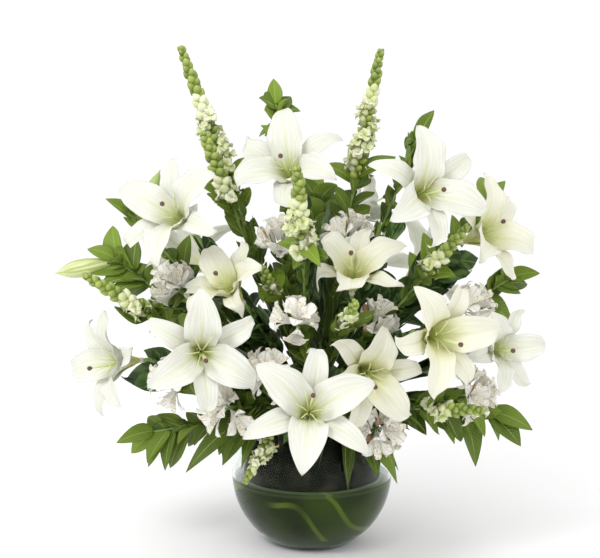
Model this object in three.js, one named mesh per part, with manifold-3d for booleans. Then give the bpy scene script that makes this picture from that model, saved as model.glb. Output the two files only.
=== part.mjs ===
// A floral table centerpiece: white lilies, snapdragon spikes, alstroemeria and leafy sprigs,
// standing in wet foam inside a leaf-lined glass bowl. Millimetres, +Z up. The origin is the
// middle of the bowl's underside and the front faces -Y.
//
// Every stem points at one spot in the foam, the focus. Each stem and each flower owns the space
// on its own side of a flat wall between it and each neighbour, so what would cross a neighbour
// is bent clear of that wall, as crowded petals are.

import * as THREE from "three";
import { mergeVertices } from "three/addons/utils/BufferGeometryUtils.js";
import Module from "manifold-3d";

const wasm = await Module();
wasm.setup();

// ---------------------------------------------------------------- driving dimensions
const BOWL_RADIUS = 125;
const BOWL_CENTRE = new THREE.Vector3(0, 0, 110);
const BOWL_WALL = 3.5;
const BOWL_FLOOR = 8;
const RIM_Z = 200;
const WATER_Z = 107;
const FOAM_RADIUS = 72;
const FOAM_FOOT_RADIUS = 58;
const FOAM_FOOT_HEIGHT = 24;
const LINER_THICKNESS = 1.5;
const LINER = [[26, 82], [60, 100], [110, 107], [150, 104], [180, 92], [196, 79.5]]; // height, radius
const TOUCH = 0.4; // gap between pieces that touch
const ROUND_SIDES = 16;

const FOCUS = new THREE.Vector3(0, 0, 215);
const ROOT_REACH = 48; // how near the focus a stem ends
const FORK_REACH = 30; // where the two branches of a lily stem meet
const FORK_END_REACH = 62; // where its branches have reached their own lines
const HOLE_TOP_REACH = FOAM_RADIUS + 8;
const HOLE_RADIUS = 4;
const CURVED_HOLE_RADIUS = 6.4;
const FORKED_HOLE_RADIUS = 5.1;
const STEM_SIDES = 3;
const BRANCH_SIDES = 4;

const LILY_TEPAL = 138; // length of a petal at size 1
const LILY_DEPTH = 52; // from the bloom's base to its throat
const TIP_DEPTH = 68; // where a bloom's petals turn back: along its axis from the base,
const TIP_SPREAD = 72; // and out from the axis
const TIP_ROOM = 16;
const LILY_NECK = 18; // how far behind its base a bloom's stem turns into its axis
const LILY_FOOT = 5; // how far the bloom's flat foot lies behind its base
const PETAL_WIDTH = 52;
const SEPAL_WIDTH = 34;
const HEAD_DEPTH = 46; // from an alstroemeria's crown to its reach
const HEAD_MIDDLE = 26; // from its crown to the middle of its florets
const BLADE_THICKNESS = 1.8;
const MIDRIB_STEPS = 20;
const PETAL_ROWS = [0, 0.25, 0.5, 0.75, 1]; // shares of the length where a petal has points
const LEAF_ROWS = [0, 0.3, 0.65, 1];
const FILAMENTS = 3;

// Walls between neighbours
const TILTS = Array.from({ length: 35 }, (_, step) => 5 * step - 85);
const SWINGS = Array.from({ length: 27 }, (_, step) => 6 * step - 78);
const SHARES = Array.from({ length: 9 }, (_, step) => 0.14 + 0.09 * step);
const HEART = 8; // a stem or a flower's middle keeps this far from a wall at least
const WALL_SOFT = 14; // bending starts this far from a wall
const WALL_GAP = 1.7; // and never comes nearer than this
const STEM_ROOM = 5; // radius of the space that a stem asks for where it enters the foam
const LILY_LEAF_ROOM = 22; // and of the space for its leaves half way up
const SPIKE_LEAF_ROOM = 16;
const HEAD_LEAF_ROOM = 20;
const BOWL_GAP = 5; // how far petals and leaves keep from the glass and the foam

// ---------------------------------------------------------------- layout
// Azimuth 0 is the front and 90 is +X, elevation is above the horizontal, both in degrees from
// the focus. Reach is in millimetres from the focus.
// Lilies: azimuth, elevation and reach of the throat, azimuth and elevation that the bloom
// faces, roll of its first petal, size.
const LILIES = [
  [-20, 74, 395, -15, 38, 95, 1.0],
  [40.7, 55, 430, 26, 18, 92, 1.0],
  [72, 46, 392, 45, 22, -30, 0.95],
  [-54.8, 51.8, 400, -30, 30, 162, 1.0],
  [-36.7, 46.3, 298, -40, 42, 140, 0.85],
  [20, 53.7, 293, 5, 52, 19, 0.9],
  [140, 66, 330, 100, 30, 0, 0.85],
  [-72, 16, 325, -50, 5, 80, 0.95],
  [-31.8, 24.5, 320, 10, 8, 92, 1.0],
  [36.9, 27.4, 330, 30, 4, 125, 1.0],
  [21.6, 23, 235, 14, -2, 72, 0.95],
  [-1, 11.9, 295, 4, 26, 260, 1.05],
  [62.4, 20.6, 330, 35, 8, 0, 0.8],
  [-130, 40, 330, -135, 20, 90, 1.0],
  [135, 36, 330, 135, 20, 60, 1.0],
  [178, 20, 290, 180, 12, 90, 1.0],
];
// Two lilies share each forked stem.
const LILY_STEMS = [[1, 4], [5, 9], [2, 7], [3, 13], [10, 11], [6, 12], [8, 14], [15, 16]];

// Snapdragons: azimuth, elevation and reach of the tip, length and radius of the flowering part.
const SNAPDRAGONS = [
  [-75, 70, 600, 225, 27],
  [-54.9, 65.7, 480, 125, 24],
  [-4.7, 54.6, 488, 165, 27],
  [72, 79, 570, 205, 26],
  [53.5, 47.5, 412, 110, 22],
  [-25.6, 55.1, 295, 60, 18],
  [13.1, 38.6, 330, 75, 20],
  [-63, 32, 440, 130, 24],
  [50.1, 7.3, 325, 105, 22],
];
// One more hangs over the rim: its stem's points as azimuth, elevation and reach.
const HANGING_SNAPDRAGON = {
  path: [[-24, 4, 48], [-24, 4, 112], [-24, -8, 168], [-32, -23, 205]],
  room: [5, 8, 22, 14],
  length: 80,
  radius: 19,
};

// Alstroemeria: azimuth, elevation and reach of the head, roll, florets.
const ALSTROEMERIA = [
  [-70.4, 42.5, 330, 20, 4],
  [-25.7, 67.2, 325, 80, 4],
  [36.4, 71, 325, 40, 4],
  [-6.5, 40, 295, 0, 3],
  [-19, 23.3, 260, 50, 3],
  [37.4, 45.7, 247, 70, 3],
  [67, 34, 340, 10, 4],
  [65.2, 9.4, 300, 35, 4],
  [34.2, -0.9, 210, 90, 4],
  [-58.6, 15.6, 285, 15, 3],
  [-34, 10.1, 265, 60, 3],
];

// Sprigs: azimuth, elevation and reach of the tip, leaves, leaf length and width, droop.
const SPRIGS = [
  [-80, 83.2, 508, 7, 46, 26, 0],
  [90, 69, 489, 7, 56, 30, 0],
  [-80, 47.5, 448, 7, 52, 28, 0],
  [-84, 38, 430, 6, 60, 27, 12],
  [-76, -6, 300, 7, 62, 30, 15],
  [-60, -5.5, 215, 3, 110, 34, 35],
  [97, 49, 460, 7, 46, 25, 0],
  [86, 34, 408, 7, 55, 27, 12],
  [78, 1, 325, 7, 60, 28, 15],
  [178, 57, 430, 7, 74, 34, 10],
  [-155, 6, 290, 7, 78, 32, 25],
];
// Two sprigs carry a lily's bud: reach of its root, azimuth and elevation that it points in,
// length and radius.
const SPRIG_BUDS = new Map([
  [3, [395, 90, 66, 88, 10]],
  [4, [378, -92, -12, 98, 14]],
]);

const COLOURS = {
  glass: ["#dfe8ea", 0.05],
  water: ["#c9d8c4", 0.05],
  liner: ["#2c4a22", 0.45],
  foam: ["#3c5a34", 0.95],
  lily: ["#f4f3ea", 0.5],
  snapdragon: ["#e8e7b4", 0.55],
  alstroemeria: ["#ece3d2", 0.5],
  stem: ["#5b7f33", 0.55],
  leaf: ["#4a7325", 0.45],
};

// ---------------------------------------------------------------- small helpers
const radians = THREE.MathUtils.degToRad;
const UP = new THREE.Vector3(0, 0, 1);

/** Unit vector at an azimuth and elevation in degrees. */
function heading(azimuth, elevation) {
  const flat = Math.cos(radians(elevation));
  const turn = radians(azimuth);
  return new THREE.Vector3(Math.sin(turn) * flat, -Math.cos(turn) * flat, Math.sin(radians(elevation)));
}

/** The point at a reach along a heading from the focus. */
function placeAt(azimuth, elevation, reach) {
  return heading(azimuth, elevation).multiplyScalar(reach).add(FOCUS);
}

/** The point at a reach along a unit vector from the focus. */
function outAlong(line, reach) {
  return FOCUS.clone().addScaledVector(line, reach);
}

/** Right and up directions of something that faces along axis. */
function facingFrame(axis) {
  const up = UP.clone().addScaledVector(axis, -UP.dot(axis));
  if (up.length() < 0.05) up.set(0, 1, 0).addScaledVector(axis, -axis.y);
  up.normalize();
  return { right: up.clone().cross(axis), up };
}

/** Unit vector off axis by a tilt, turned round it by a roll, both in degrees. */
function offAxis(axis, tilt, roll) {
  const { right, up } = facingFrame(axis);
  const lean = right.multiplyScalar(Math.cos(radians(roll))).addScaledVector(up, Math.sin(radians(roll)));
  return axis.clone().multiplyScalar(Math.cos(radians(tilt))).addScaledVector(lean, Math.sin(radians(tilt)));
}

/** The same draw from 0 to 1 for the same number each time. */
function draw(number) {
  return THREE.MathUtils.euclideanModulo(Math.sin(number * 127.1 + 11.7) * 43758.5453, 1);
}

/** A closed solid from points and triangles. */
function solid(points, triangles) {
  const mesh = new wasm.Mesh({
    numProp: 3,
    vertProperties: new Float32Array(points.flatMap((point) => point.toArray())),
    triVerts: new Uint32Array(triangles.flat()),
  });
  return new wasm.Manifold(mesh);
}

/** A closed solid from a three.js geometry. */
function solidOf(geometry) {
  geometry.deleteAttribute("normal");
  geometry.deleteAttribute("uv");
  const merged = mergeVertices(geometry, 1e-4);
  return new wasm.Manifold(
    new wasm.Mesh({
      numProp: 3,
      vertProperties: new Float32Array(merged.attributes.position.array),
      triVerts: new Uint32Array(merged.index.array),
    }),
  );
}

/** A turned solid from a profile of [radius, height] points. */
function turned(profile) {
  const geometry = new THREE.LatheGeometry(
    profile.map(([radius, height]) => new THREE.Vector2(radius, height)),
    ROUND_SIDES,
  );
  geometry.rotateX(Math.PI / 2);
  return solidOf(geometry);
}

/** Six times the signed volume under a triangle, seen from the origin. */
function volumeUnder(vertices, a, b, c) {
  const corner = (index) => new THREE.Vector3().fromArray(vertices, 3 * index);
  return corner(a).dot(corner(b).cross(corner(c)));
}

/** The outer skin of a solid as a geometry: its largest shell, without scraps or sealed hollows. */
function outerSkin(body) {
  const { vertProperties, triVerts } = body.getMesh();
  const parent = Array.from({ length: vertProperties.length / 3 }, (_, index) => index);
  const find = (index) => {
    while (parent[index] !== index) {
      parent[index] = parent[parent[index]];
      index = parent[index];
    }
    return index;
  };
  for (let at = 0; at < triVerts.length; at += 3) {
    parent[find(triVerts[at])] = find(triVerts[at + 1]);
    parent[find(triVerts[at + 1])] = find(triVerts[at + 2]);
  }
  const shells = new Map();
  for (let at = 0; at < triVerts.length; at += 3) {
    const shell = shells.get(find(triVerts[at])) ?? { volume: 0, index: [] };
    shell.volume += volumeUnder(vertProperties, triVerts[at], triVerts[at + 1], triVerts[at + 2]);
    shell.index.push(triVerts[at], triVerts[at + 1], triVerts[at + 2]);
    shells.set(find(triVerts[at]), shell);
  }
  const largest = [...shells.values()].reduce((best, shell) => (shell.volume > best.volume ? shell : best));
  const geometry = new THREE.BufferGeometry();
  geometry.setAttribute("position", new THREE.BufferAttribute(vertProperties, 3));
  geometry.setIndex(largest.index);
  return geometry;
}

// ---------------------------------------------------------------- walls between neighbours
/** The balls that a stem or a flower fills, as [place, radius]. Its spine is its line of centres,
 *  as far as the first spineCount balls. */
function makeCell(balls, spineCount = balls.length) {
  return { balls: balls.map(([at, radius]) => ({ at, radius })), spineCount, walls: [] };
}

/** A cell's spine as places. */
function spineOf(cell) {
  return cell.balls.slice(0, cell.spineCount).map((ball) => ball.at);
}

/** The point of a cell's spine that is nearest to a point. */
function onSpine(cell, point) {
  const spine = spineOf(cell);
  let nearest = null;
  for (let at = 0; at + 1 < spine.length; at += 1) {
    const line = new THREE.Line3(spine[at], spine[at + 1]);
    const found = line.closestPointToPoint(point, true, new THREE.Vector3());
    if (!nearest || found.distanceTo(point) < nearest.distanceTo(point)) nearest = found;
  }
  return nearest;
}

/** How badly a cell's balls reach through a plane: the sum of (radius - distance)^2, in which what
 *  is on the spine counts 50 times. */
function reachThrough(cell, normal, offset) {
  let cost = 0;
  cell.balls.forEach(({ at, radius }, index) => {
    const away = normal.dot(at) - offset;
    cost += Math.max(radius - away, 0) ** 2;
    if (index < cell.spineCount) cost += 50 * Math.max(Math.min(radius, HEART) - away, 0) ** 2;
  });
  return cost;
}

/** Planes between two spines, square to each normal, at several shares of the gap. */
function planesBetween(one, other, normals) {
  return normals.flatMap((normal) => {
    const high = Math.min(...spineOf(one).map((place) => normal.dot(place)));
    const low = Math.max(...spineOf(other).map((place) => normal.dot(place)));
    if (high <= low) return [];
    const back = normal.clone().negate();
    return SHARES.map((share) => {
      const offset = low + (high - low) * share;
      const cost = reachThrough(one, normal, offset) + reachThrough(other, back, -offset);
      return { normal, offset, cost };
    });
  });
}

/** Many directions round one: tilted up and down, and swung to both sides. */
function directionsRound(across) {
  const { right: side, up: along } = facingFrame(across);
  return TILTS.map(radians).flatMap((tilt) => {
    const tilted = across.clone().multiplyScalar(Math.cos(tilt)).addScaledVector(along, Math.sin(tilt));
    return SWINGS.map(radians).map((swing) =>
      tilted.clone().multiplyScalar(Math.cos(swing)).addScaledVector(side, Math.sin(swing)),
    );
  });
}

/** The middle of a cell's spine. */
function middleOf(cell) {
  const spine = spineOf(cell);
  return spine.reduce((sum, place) => sum.add(place), new THREE.Vector3()).divideScalar(spine.length);
}

/** Puts the wall between two cells where their balls stick out least: a plane square to the line
 *  between their middles if that will do, or else the best of many tilted ones. */
function wallBetween(one, other) {
  const across = middleOf(one).sub(middleOf(other)).normalize();
  let planes = planesBetween(one, other, [across]);
  if (!planes.some(({ cost }) => cost === 0)) {
    planes = planesBetween(one, other, directionsRound(across));
  }
  const free = planes.filter(({ cost }) => cost === 0);
  const least = planes.reduce((kept, plane) => (plane.cost < kept.cost ? plane : kept));
  const { normal, offset } = free[Math.floor(free.length / 2)] ?? least;
  one.walls.push({ normal, offset });
  other.walls.push({ normal: normal.clone().negate(), offset: -offset });
}

/** Moves a point smoothly to its own side of all of its cell's walls, and out of the bowl and foam. */
function bendClear(cell, point) {
  const spine = onSpine(cell, point);
  const bent = point.clone();
  for (let pass = 0; pass < 4; pass += 1) {
    for (const { normal, offset } of cell.walls) {
      const soft = THREE.MathUtils.clamp(0.7 * (normal.dot(spine) - offset), 1, WALL_SOFT);
      const gap = Math.min(WALL_GAP, soft / 2);
      const away = normal.dot(bent) - offset;
      if (away < soft) {
        const target = gap + (soft - gap) * Math.exp((away - soft) / (soft - gap));
        bent.addScaledVector(normal, target - away);
      }
    }
    keepOutside(bent, BOWL_CENTRE, BOWL_RADIUS + BOWL_GAP, RIM_Z + 12);
    keepOutside(bent, FOCUS, FOAM_RADIUS + BOWL_GAP, Infinity);
  }
  return bent;
}

/** Pushes a point that lies below a height out of a ball. */
function keepOutside(point, centre, radius, below) {
  const away = point.clone().sub(centre);
  if (point.z < below && away.length() < radius) point.copy(away.setLength(radius).add(centre));
}

// ---------------------------------------------------------------- plant forms
const [LEFT, TOP, RIGHT, BOTTOM] = [0, 1, 2, 3];
const SECTION = [[LEFT, TOP], [TOP, RIGHT], [RIGHT, BOTTOM], [BOTTOM, LEFT]];

/** Adds the four corners of a blade's section at a row, thickest on the midrib. */
function addSection(points, middle, places, row, edges) {
  const centre = middle(places[row], 0);
  const [left, right] = edges ?? [middle(places[row], -1), middle(places[row], 1)];
  const length = middle(places[row + 1], 0).sub(middle(places[row - 1], 0));
  const normal = right.clone().sub(left).cross(length).setLength(BLADE_THICKNESS / 2);
  points.push(left, centre.clone().add(normal), right, centre.clone().sub(normal));
  return [4, 3, 2, 1].map((back) => points.length - back);
}

/** Triangles between two sections of a blade, split alike on both faces. */
function sectionWalls(near, far) {
  const triangles = [];
  for (const [edge, face] of [[LEFT, TOP], [RIGHT, BOTTOM]]) {
    triangles.push([near[edge], near[face], far[face]], [near[edge], far[face], far[edge]]);
  }
  for (const [edge, face] of [[LEFT, BOTTOM], [RIGHT, TOP]]) {
    triangles.push([near[edge], far[face], near[face]], [near[edge], far[edge], far[face]]);
  }
  return triangles;
}

/** A petal or leaf, pointed at both ends. middle(along, across) gives its middle surface, with
 *  along from 0 to 1 and across from -1 to 1, and places the shares of along that get a section. */
function blade(middle, places) {
  const points = [middle(0, 0)];
  const sections = places.slice(1, -1).map((_, index) => addSection(points, middle, places, index + 1));
  const tip = points.push(middle(1, 0)) - 1;
  const last = sections[sections.length - 1];
  const triangles = SECTION.flatMap(([from, to]) => [
    [0, sections[0][to], sections[0][from]],
    [tip, last[from], last[to]],
  ]);
  sections.slice(1).forEach((far, index) => triangles.push(...sectionWalls(sections[index], far)));
  return solid(points, triangles);
}

/** A round body along a path, with a radius at each of its points; a radius of 0 is a point. */
function tube(path, radii, sides) {
  const points = [];
  const triangles = [];
  const rings = [];
  const ahead = (at) => {
    const next = path[Math.min(at + 1, path.length - 1)];
    return next.clone().sub(path[Math.max(at - 1, 0)]).normalize();
  };
  let side = facingFrame(ahead(0)).right;
  path.forEach((centre, at) => {
    const axis = ahead(at);
    side = side.clone().addScaledVector(axis, -side.dot(axis)).normalize();
    const third = axis.clone().cross(side);
    const count = radii[at] === 0 ? 1 : sides;
    rings.push({ start: points.length, count });
    for (let step = 0; step < count; step += 1) {
      const turn = (2 * Math.PI * step) / sides;
      points.push(
        centre
          .clone()
          .addScaledVector(side, radii[at] * Math.cos(turn))
          .addScaledVector(third, radii[at] * Math.sin(turn)),
      );
    }
  });
  for (let at = 0; at + 1 < rings.length; at += 1) {
    const [low, high] = [rings[at], rings[at + 1]];
    for (let step = 0; step < sides; step += 1) {
      const next = (step + 1) % sides;
      const corner = (ring, index) => ring.start + (ring.count === 1 ? 0 : index);
      if (low.count > 1) triangles.push([corner(low, step), corner(low, next), corner(high, next)]);
      if (high.count > 1) triangles.push([corner(low, step), corner(high, next), corner(high, step)]);
    }
  }
  const first = rings[0];
  const last = rings[rings.length - 1];
  for (let step = 1; step + 1 < sides; step += 1) {
    if (first.count > 1) triangles.push([first.start, first.start + step + 1, first.start + step]);
    if (last.count > 1) triangles.push([last.start, last.start + step, last.start + step + 1]);
  }
  return solid(points, triangles);
}

/** A trumpet whose mouth ends in lobes, as [angle off the lobe, share of radius, share of depth]. */
function trumpet(cell, base, axis, roll, { lobes, depth, radius, edge, throat }) {
  const { right, up } = facingFrame(axis);
  const points = [base.clone(), base.clone().addScaledVector(axis, throat)];
  for (let lobe = 0; lobe < lobes; lobe += 1) {
    for (const [off, out, high] of edge) {
      const turn = radians(roll + (360 * lobe) / lobes + off);
      const point = base.clone().addScaledVector(axis, depth * high);
      point.addScaledVector(right, radius * out * Math.cos(turn));
      point.addScaledVector(up, radius * out * Math.sin(turn));
      points.push(bendClear(cell, point));
    }
  }
  const triangles = [];
  const rim = points.length - 2;
  for (let step = 0; step < rim; step += 1) {
    const here = 2 + step;
    const next = 2 + ((step + 1) % rim);
    triangles.push([0, next, here], [1, here, next]);
  }
  return solid(points, triangles);
}

// ---------------------------------------------------------------- lilies
/** The midrib of a lily's petal, walked in even steps: it leaves the axis slowly, rolls back at the
 *  tip, and keeps its length where a neighbour's wall turns it aside. */
function lilyMidrib(lily, bloomCell, { length, roll, first, open }) {
  const outward = offAxis(lily.axis, 90, roll);
  const stride = length / MIDRIB_STEPS;
  const midrib = [lily.base.clone().addScaledVector(outward, 3)];
  for (let step = 0; step < MIDRIB_STEPS; step += 1) {
    const lean = radians(first + open * ((step + 0.5) / MIDRIB_STEPS) ** 1.8);
    const here = midrib[step];
    const next = here.clone().addScaledVector(outward, stride * Math.sin(lean));
    next.addScaledVector(lily.axis, stride * Math.cos(lean));
    const turned = bendClear(bloomCell, next).sub(here).setLength(stride).add(here);
    midrib.push(step < 3 ? next : bendClear(bloomCell, turned));
  }
  return midrib;
}

/** A point of a lily's petal: its sides widen from the midrib and curve up into a shallow trough. */
function lilyPetalPoint(lily, bloomCell, petal, midrib, along, across) {
  const at = Math.round(along * MIDRIB_STEPS);
  const half = (petal.width / 2) * Math.sin(Math.PI * along ** 1.25) ** 0.85;
  const sideways = offAxis(lily.axis, 90, petal.roll - 90);
  const length = midrib[Math.min(at + 1, MIDRIB_STEPS)].clone().sub(midrib[Math.max(at - 1, 0)]);
  const inward = sideways.clone().cross(length).normalize();
  const point = midrib[at].clone().addScaledVector(sideways, half * across);
  point.addScaledVector(inward, half * across * (0.3 * across + petal.twist));
  return across === 0 ? point : bendClear(bloomCell, point);
}

/** A cell cut short by a flat wall across an axis, with the kept side along it. */
function splitCell(cell, normal, at) {
  return { ...cell, walls: [...cell.walls, { normal, offset: normal.dot(at) }] };
}

/** The six petals of a bloom, three broad ones inside three narrow ones. */
function lilyPetals(lily, number) {
  return Array.from({ length: 6 }, (_, place) => {
    const broad = place % 2 === 0;
    return {
      length: LILY_TEPAL * lily.size * (broad ? 1 : 0.97),
      width: (broad ? PETAL_WIDTH : SEPAL_WIDTH) * lily.size,
      roll: lily.roll + 60 * place + 8 * (draw(number * 7 + place) - 0.5),
      first: broad ? 10 : 17,
      open: (broad ? 122 : 140) + 20 * (draw(number * 5 + place) - 0.5),
      twist: 0.2 * (draw(number * 13 + place) - 0.5),
    };
  });
}

/** The white body of a bloom: petals that share their edges low down and part further up. */
function lilyFunnel(lily, number) {
  const { base, axis, size, cell } = lily;
  const bloomCell = splitCell(cell, axis, base);
  const petals = lilyPetals(lily, number);
  const middles = petals.map((petal) => {
    const midrib = lilyMidrib(lily, bloomCell, petal);
    return (along, across) => lilyPetalPoint(lily, bloomCell, petal, midrib, along, across);
  });
  const low = PETAL_ROWS[1];
  const edges = middles.map((middle, place) => middle(low, -1).lerp(middles[(place + 1) % 6](low, 1), 0.5));
  const foot = base.clone().addScaledVector(axis, -LILY_FOOT);
  const points = petals.map(({ roll }) => foot.clone().addScaledVector(offAxis(axis, 90, roll), 4));
  const throat = points.push(base.clone().addScaledVector(axis, 13 * size)) - 1;
  const triangles = [1, 2, 3, 4].map((place) => [0, place + 1, place]);
  const edgeIndex = edges.map((edge) => points.push(edge) - 1);
  middles.forEach((middle, place) => {
    const before = (place + 5) % 6;
    const shared = [edges[place], edges[before]];
    const first = addSection(points, middle, PETAL_ROWS, 1, shared);
    first[LEFT] = edgeIndex[place];
    first[RIGHT] = edgeIndex[before];
    triangles.push([throat, first[TOP], first[LEFT]], [throat, first[RIGHT], first[TOP]]);
    triangles.push([place, first[BOTTOM], first[RIGHT]], [place, first[LEFT], first[BOTTOM]]);
    triangles.push([first[LEFT], place, (place + 1) % 6]);
    let near = first;
    for (let row = 2; row < PETAL_ROWS.length - 1; row += 1) {
      const far = addSection(points, middle, PETAL_ROWS, row);
      triangles.push(...sectionWalls(near, far));
      near = far;
    }
    const tip = points.push(middle(1, 0)) - 1;
    triangles.push(...SECTION.map(([from, to]) => [tip, near[from], near[to]]));
  });
  return solid(points, triangles);
}

/** A bloom: the petals, with slender filaments and a longer style that rise from its throat. */
function lilyBloom(lily, number) {
  const { base, axis, size } = lily;
  const along = (distance) => base.clone().addScaledVector(axis, distance);
  const parts = [lilyFunnel(lily, number)];
  for (let place = 0; place < FILAMENTS; place += 1) {
    const rollOff = lily.roll + 30 + (360 * place) / FILAMENTS;
    const path = [along(6), along(6).addScaledVector(offAxis(axis, 6, rollOff), 40 * size)];
    path.push(path[1].clone().addScaledVector(offAxis(axis, 26, rollOff), 34 * size));
    parts.push(tube(path, [0, 1.5, 0], 3));
  }
  const style = offAxis(axis, 6, lily.roll + 180);
  const stylePath = [2, 50 * size, 90 * size, 95 * size].map((out) => along(2).addScaledVector(style, out));
  parts.push(tube(stylePath, [0, 1.4, 1.4, 3], 3));
  return parts;
}

/** A leaf that springs from a stem and bends under its weight. Its face looks out along the stem,
 *  up, and to the nearer of front and back, where the light comes from. */
function leafBlade(cell, line, root, direction, { length, width, droop, rows = LEAF_ROWS }) {
  const light = line.clone().multiplyScalar(0.5).addScaledVector(UP, 0.4);
  light.y += line.y > 0.3 ? 0.8 : -0.8;
  const side = direction.clone().cross(light).normalize();
  const above = side.clone().cross(direction);
  return blade((u, v) => {
    const half = (width / 2) * Math.sin(Math.PI * u ** 0.8) ** 0.85;
    const point = root.clone().addScaledVector(direction, length * u);
    point.addScaledVector(UP, -droop * u * u);
    point.addScaledVector(above, 0.06 * length * Math.sin(Math.PI * u) + 0.35 * half * Math.abs(v));
    point.addScaledVector(side, half * v);
    return u === 0 ? point : bendClear(cell, point);
  }, rows);
}

/** The green branch of one lily: from the fork to just under the bloom, with its leaves. */
function lilyBranch(lily, fork, number) {
  const { base, axis, line, stemCell: cell } = lily;
  const leafCell = splitCell(cell, axis.clone().negate(), base.clone().addScaledVector(axis, -6));
  const end = base.clone().addScaledVector(axis, -LILY_FOOT - TOUCH);
  const out = base.distanceTo(FOCUS);
  const onLine = (reach) => outAlong(line, reach);
  const neck = base.clone().addScaledVector(axis, -LILY_NECK);
  const path = [fork, onLine(FORK_END_REACH), onLine(0.7 * out), neck, end];
  const parts = [tube(path, [3.6, 3.4, 3, 2.8, 3.2], BRANCH_SIDES)];
  for (let leaf = 0; leaf < 2; leaf += 1) {
    const root = onLine(out * (0.5 + 0.2 * leaf));
    const direction = offAxis(line, 55, 160 * leaf + 360 * draw(number * 3));
    parts.push(leafBlade(leafCell, line, root, direction, { length: 92, width: 24, droop: 12 }));
  }
  return parts;
}

/** A forked lily stem, whose fork stands in the foam. */
function lilyStem(lilies, first, second) {
  const middle = lilies[first].line.clone().add(lilies[second].line).normalize();
  const fork = outAlong(middle, FORK_REACH);
  return [...lilyBranch(lilies[first], fork, first), ...lilyBranch(lilies[second], fork, second)];
}

// ---------------------------------------------------------------- snapdragons
const SNAPDRAGON_EDGE = [[0, 1, 1], [60, 0.7, 0.8]];
const BARE_STEM = 14; // how far below its lowest floret or leaf a stem's long bare length ends
const FLORET_SPACING = 24; // length of a spike for each open floret

/** A spike: open florets low down, buds towards the tip, in a spiral round one stem. */
function snapdragon({ cell, path, length, radius }, number) {
  const curve = new THREE.CatmullRomCurve3(path);
  const total = curve.getLength();
  const florets = Math.max(6, Math.round(length / FLORET_SPACING));
  const buds = 5;
  const straight = [0, 1 - (length + BARE_STEM) / total, 1];
  const rings = path.length > 2 ? [0, 0.17, 0.33, 0.5, 0.67, 0.83, 1] : straight;
  const stem = rings.map((share) => curve.getPointAt(share));
  const parts = [tube(stem, rings.map((share) => 3.2 - 1.8 * share), STEM_SIDES)];
  for (let place = 0; place < florets + buds; place += 1) {
    const share = place / (florets + buds - 1);
    const at = 1 - (length * (1 - share) ** 1.1) / total;
    const root = curve.getPointAt(Math.min(at, 0.985));
    const axis = curve.getTangentAt(Math.min(at, 0.985));
    const size = 1.1 * radius * (1 - 0.6 * share) * (0.9 + 0.2 * draw(number * 31 + place));
    const outward = offAxis(axis, 62 - 38 * share, 137.5 * place + 40 * number);
    if (place < florets) {
      const [depth, mouth, throat] = [1, 0.6, 0.62].map((share) => share * size);
      const shape = { lobes: 3, depth, radius: mouth, edge: SNAPDRAGON_EDGE, throat };
      parts.push(trumpet(cell, root, outward, 90 * draw(place), shape));
    } else {
      const tip = bendClear(cell, root.clone().addScaledVector(outward, size));
      parts.push(tube([root, root.clone().lerp(tip, 0.55), tip], [0, 0.32 * size, 0], 3));
    }
  }
  return parts;
}

// ---------------------------------------------------------------- alstroemeria
const FLORET_RADIUS = 25;
const LEAF_BELOW_CROWN = 16;
const LAYERED_EDGE = [[-17, 1, 0.8], [17, 1, 0.8], [36, 0.5, 0.6], [60, 0.9, 1], [84, 0.5, 0.6]];

/** A head of trumpet florets, each with two layers of three petals, on short stalks. */
function alstroemeria({ cell, stemCell: leafCell, line, reach, roll, florets }, number) {
  const onLine = (distance) => outAlong(line, distance);
  const crown = onLine(reach - HEAD_DEPTH);
  const leafRoot = onLine(reach - HEAD_DEPTH - LEAF_BELOW_CROWN);
  const bareEnd = onLine(reach - HEAD_DEPTH - LEAF_BELOW_CROWN - BARE_STEM);
  const stem = [onLine(ROOT_REACH), bareEnd, onLine(reach - HEAD_DEPTH + 3)];
  const parts = [tube(stem, [2.8, 3, 3.2], STEM_SIDES)];
  for (let place = 0; place < florets; place += 1) {
    const direction = offAxis(line, place === 0 ? 8 : 54, roll + (360 * place) / (florets - 1));
    const depth = place === 0 ? 50 : 42;
    const shape = { lobes: 3, depth, radius: FLORET_RADIUS, edge: LAYERED_EDGE, throat: 0.55 * depth };
    parts.push(trumpet(cell, crown, direction, 360 * draw(number * 11 + place), shape));
  }
  const leaf = offAxis(line, 68, roll + 60);
  parts.push(leafBlade(leafCell, line, leafRoot, leaf, { length: 52, width: 13, droop: 6 }));
  return parts;
}

// ---------------------------------------------------------------- leafy sprigs
const BUD_SHAPE = [[0, 0.2], [0.3, 0.7], [0.65, 1], [0.88, 0.65], [1, 0]]; // share along, share of radius
const BUD_SIDES = 6;

/** A sprig: a thin stem with leaves set alternately, the last one at its tip. */
function sprig({ cell, line, row, bud }, number) {
  const [, , reach, leaves, length, width, droop] = row;
  const onLine = (distance) => outAlong(line, distance);
  const last = reach - 0.8 * length;
  const first = Math.max(110, last - 24 * leaves);
  const stem = [onLine(ROOT_REACH), onLine(first - BARE_STEM), onLine(last)];
  const parts = [tube(stem, [2.6, 2.4, 1.6], STEM_SIDES)];
  for (let place = 0; place < leaves; place += 1) {
    const share = place / (leaves - 1);
    const root = onLine(first + (last - 2 - first) * share);
    const tilt = place === leaves - 1 ? 12 : 58 - 14 * share;
    const direction = offAxis(line, tilt, 137.5 * place + 60 * number);
    const size = 0.85 + 0.3 * draw(number * 19 + place);
    const shape = { length: length * size, width: width * size, droop };
    parts.push(leafBlade(cell, line, root, direction, shape));
  }
  if (bud) parts.push(tube(bud.path.map((point) => bendClear(cell, point)), bud.radii, BUD_SIDES));
  return parts;
}

// ---------------------------------------------------------------- bowl, water, liner, foam
/** Radius of the glass wall's inner face at a height. */
function glassInside(height) {
  return Math.sqrt((BOWL_RADIUS - BOWL_WALL) ** 2 - (height - BOWL_CENTRE.z) ** 2);
}

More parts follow.
